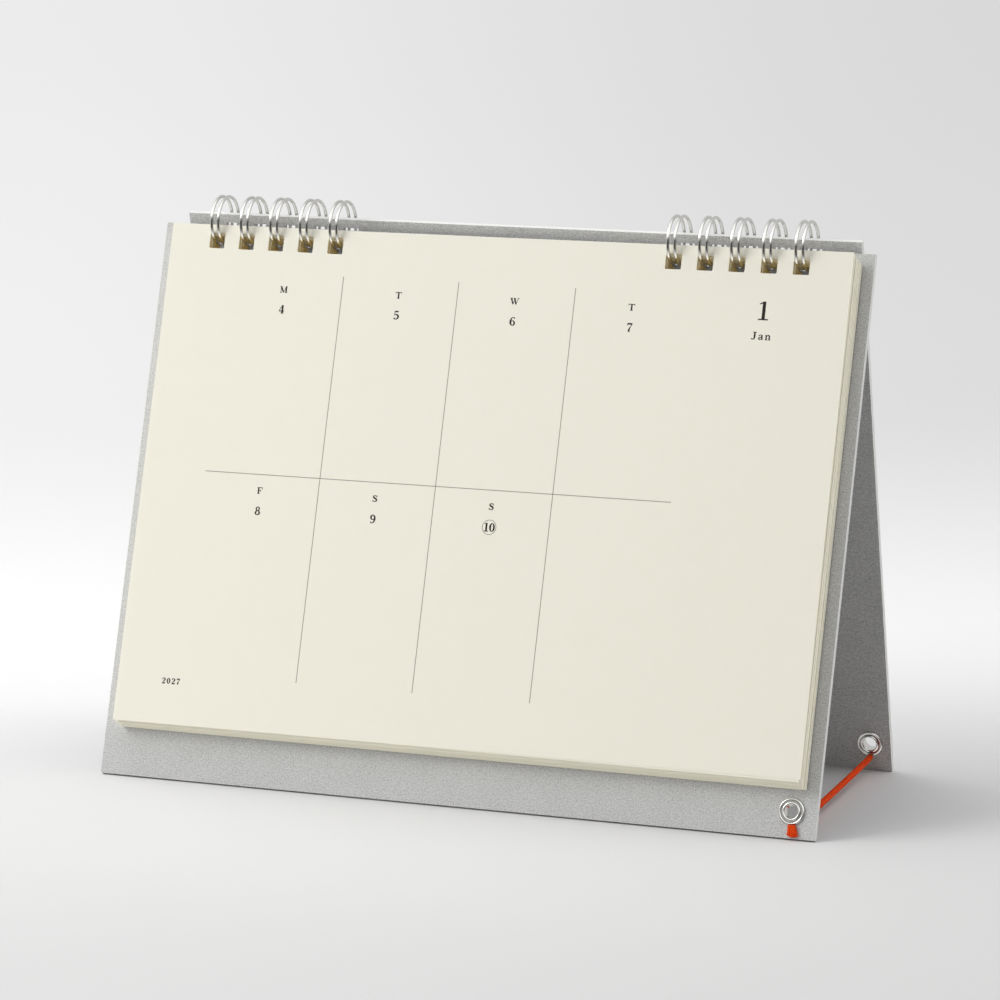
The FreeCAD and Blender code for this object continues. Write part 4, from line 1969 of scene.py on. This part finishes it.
@dataclass
class Studio:
    """The pale floor that curves up into a backdrop, the soft lights and the camera.

    The sky has one strength for the camera, a pair for what it lights and a pair for what polished
    surfaces mirror, which towards the back becomes mirrored_back. A pair goes from its first
    strength to its second towards the unlit or the dark way.
    """

    camera_place: Point = (0.4280934, -1.0642764, 0.2703891)
    camera_yaw: float = 0.3838
    camera_pitch: float = -0.1708
    lens: float = 162.0
    sensor: float = 36.0
    clip_m: float = 0.01
    pale_sky: float = 0.8
    lighting: tuple[float, float] = (1.48, 0.1)
    unlit_way: Point = (0.5, -0.87, 0.0)
    mirrored: tuple[float, float] = (1.3, 0.08)
    mirrored_back: float = 0.62
    dark_way: Point = (0.45, -0.89, 0.0)
    dark_height: float = -0.17
    dark_fall: tuple[float, float] = (0.22, 0.75)
    dark_turn: tuple[float, float] = (-0.9, 0.45)
    unlit_turn: tuple[float, float] = (0.1, 0.75)
    back_turn: tuple[float, float] = (-0.15, 0.6)
    half_width_m: float = 6.0
    near_m: float = -9.0
    wall_m: float = 3.2
    bend_m: float = 1.4
    height_m: float = 4.0
    bend_steps: int = 16
    lamps: tuple[SoftLamp, ...] = (
        SoftLamp("key_lamp", (-0.73, -0.56, 0.73), (0.0, 0.0, 0.07), 0.52, 4.9),
        SoftLamp("side_fill", (0.95, 0.25, 0.35), (0.0, 0.0, 0.05), 0.6, 0.9, mirrored=False),
    )

    def camera(self) -> None:
        """Sets up the camera at the photograph's place."""
        data = bpy.data.cameras.new("camera")
        data.sensor_width = self.sensor
        data.lens = self.lens
        data.clip_start = self.clip_m
        camera = bpy.data.objects.new("camera", data)
        camera.location = self.camera_place
        camera.rotation_euler = (math.pi / 2 + self.camera_pitch, 0.0, self.camera_yaw)
        bpy.context.scene.collection.objects.link(camera)
        bpy.context.scene.camera = camera

    def floor(self, paper: bpy.types.Material) -> None:
        """Lays the background sheet.

        Args:
            paper: its material.
        """
        profile = [(self.near_m, 0.0)]
        reach = self.wall_m - self.bend_m
        for step in range(self.bend_steps + 1):
            angle = math.pi / 2 * step / self.bend_steps
            profile.append(
                (reach + self.bend_m * math.sin(angle), self.bend_m * (1 - math.cos(angle)))
            )
        profile.append((self.wall_m, self.height_m))
        points = [(x, y, z) for y, z in profile for x in (-self.half_width_m, self.half_width_m)]
        faces = [(2 * i, 2 * i + 1, 2 * i + 3, 2 * i + 2) for i in range(len(profile) - 1)]
        mesh = bpy.data.meshes.new("floor")
        mesh.from_pydata(points, [], faces)
        mesh.shade_smooth()
        floor = place_piece("floor", mesh, Matrix.Identity(4))
        paint(floor, paper)
        floor.visible_glossy = False

    def hang(self, lamp: SoftLamp) -> None:
        """Hangs a lamp.

        Args:
            lamp: what it is like.
        """
        data = bpy.data.lights.new(lamp.name, "AREA")
        data.size = lamp.size_m
        data.energy = lamp.power
        light = bpy.data.objects.new(lamp.name, data)
        light.location = lamp.place
        way = Vector(lamp.target) - Vector(lamp.place)
        light.rotation_euler = way.to_track_quat("-Z", "Y").to_euler()
        light.visible_glossy = lamp.mirrored
        bpy.context.scene.collection.objects.link(light)

    def sky(self) -> None:
        """Sets the even light that comes from all round."""
        world = bpy.data.worlds.new("studio")
        world.use_nodes = True
        world.node_tree.nodes.clear()
        add = functools.partial(add_node, world.node_tree)
        way = add("ShaderNodeTexCoord").outputs["Generated"]
        up = add("ShaderNodeSeparateXYZ", {"Vector": way}).outputs["Z"]
        off = calc(add, "SUBTRACT", up, self.dark_height)
        gap = calc(add, "ABSOLUTE", off)
        level = spread(add, gap, self.dark_fall, (1.0, 0.0), smooth=True)
        facing = add(
            "ShaderNodeVectorMath", {0: way, 1: self.dark_way}, operation="DOT_PRODUCT"
        ).outputs["Value"]
        front = spread(add, facing, self.dark_turn, smooth=True)
        dark = calc(add, "MULTIPLY", level, front)
        turned = add(
            "ShaderNodeVectorMath", {0: way, 1: self.unlit_way}, operation="DOT_PRODUCT"
        ).outputs["Value"]
        unlit = spread(add, turned, self.unlit_turn, smooth=True)
        given = mix_levels(add, unlit, self.lighting[0], self.lighting[1])
        mirrored = mix_levels(add, dark, self.mirrored[0], self.mirrored[1])
        depth = add("ShaderNodeSeparateXYZ", {"Vector": way}).outputs["Y"]
        back = spread(add, depth, self.back_turn, smooth=True)
        mirrored = mix_levels(add, back, mirrored, self.mirrored_back)
        path = add("ShaderNodeLightPath").outputs
        gloss = mix_levels(add, path["Is Glossy Ray"], given, mirrored)
        seen = mix_levels(add, path["Is Camera Ray"], gloss, self.pale_sky)
        light = add("ShaderNodeBackground", {"Color": (1.0, 1.0, 1.0, 1.0), "Strength": seen})
        add("ShaderNodeOutputWorld", {"Surface": light.outputs[0]})
        bpy.context.scene.world = world

    def build(self) -> None:
        """Sets up the whole studio."""
        self.camera()
        self.floor(StudioPaper().build("background_paper"))
        for lamp in self.lamps:
            self.hang(lamp)
        self.sky()
        bpy.context.scene.view_settings.view_transform = "Standard"


def main() -> None:
    """Builds every sub-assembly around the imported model."""
    logging.basicConfig(level=logging.INFO, format="%(name)s %(message)s")
    BoardPair().dress()
    SheetStack().build(BookPaper().build("cream_book_paper"))
    PrintedPage().build(
        PrintingInk().build("brown_black_ink"),
        PrintingInk(tone="#8C877C", thin_tone="#9A958A").build("grey_ruling_ink"),
    )
    wire_metal = Nickel().build("nickel_plated_wire")
    for side in Side:
        TwinLoopWire(side).build(wire_metal)
    # The eyelets' grooves get a painted shade from the crevice darkening.
    eyelet_metal = Nickel(polished=0.16, dull=0.24, crevice_shade_tone="#55524D", crevice=0.7)
    EyeletPair().build(eyelet_metal.build("nickel_plated_eyelet"))
    StretchCord().build(CottonYarn().build("orange_cotton_yarn"))
    Studio().build()


if __name__ == "__main__":
    main()
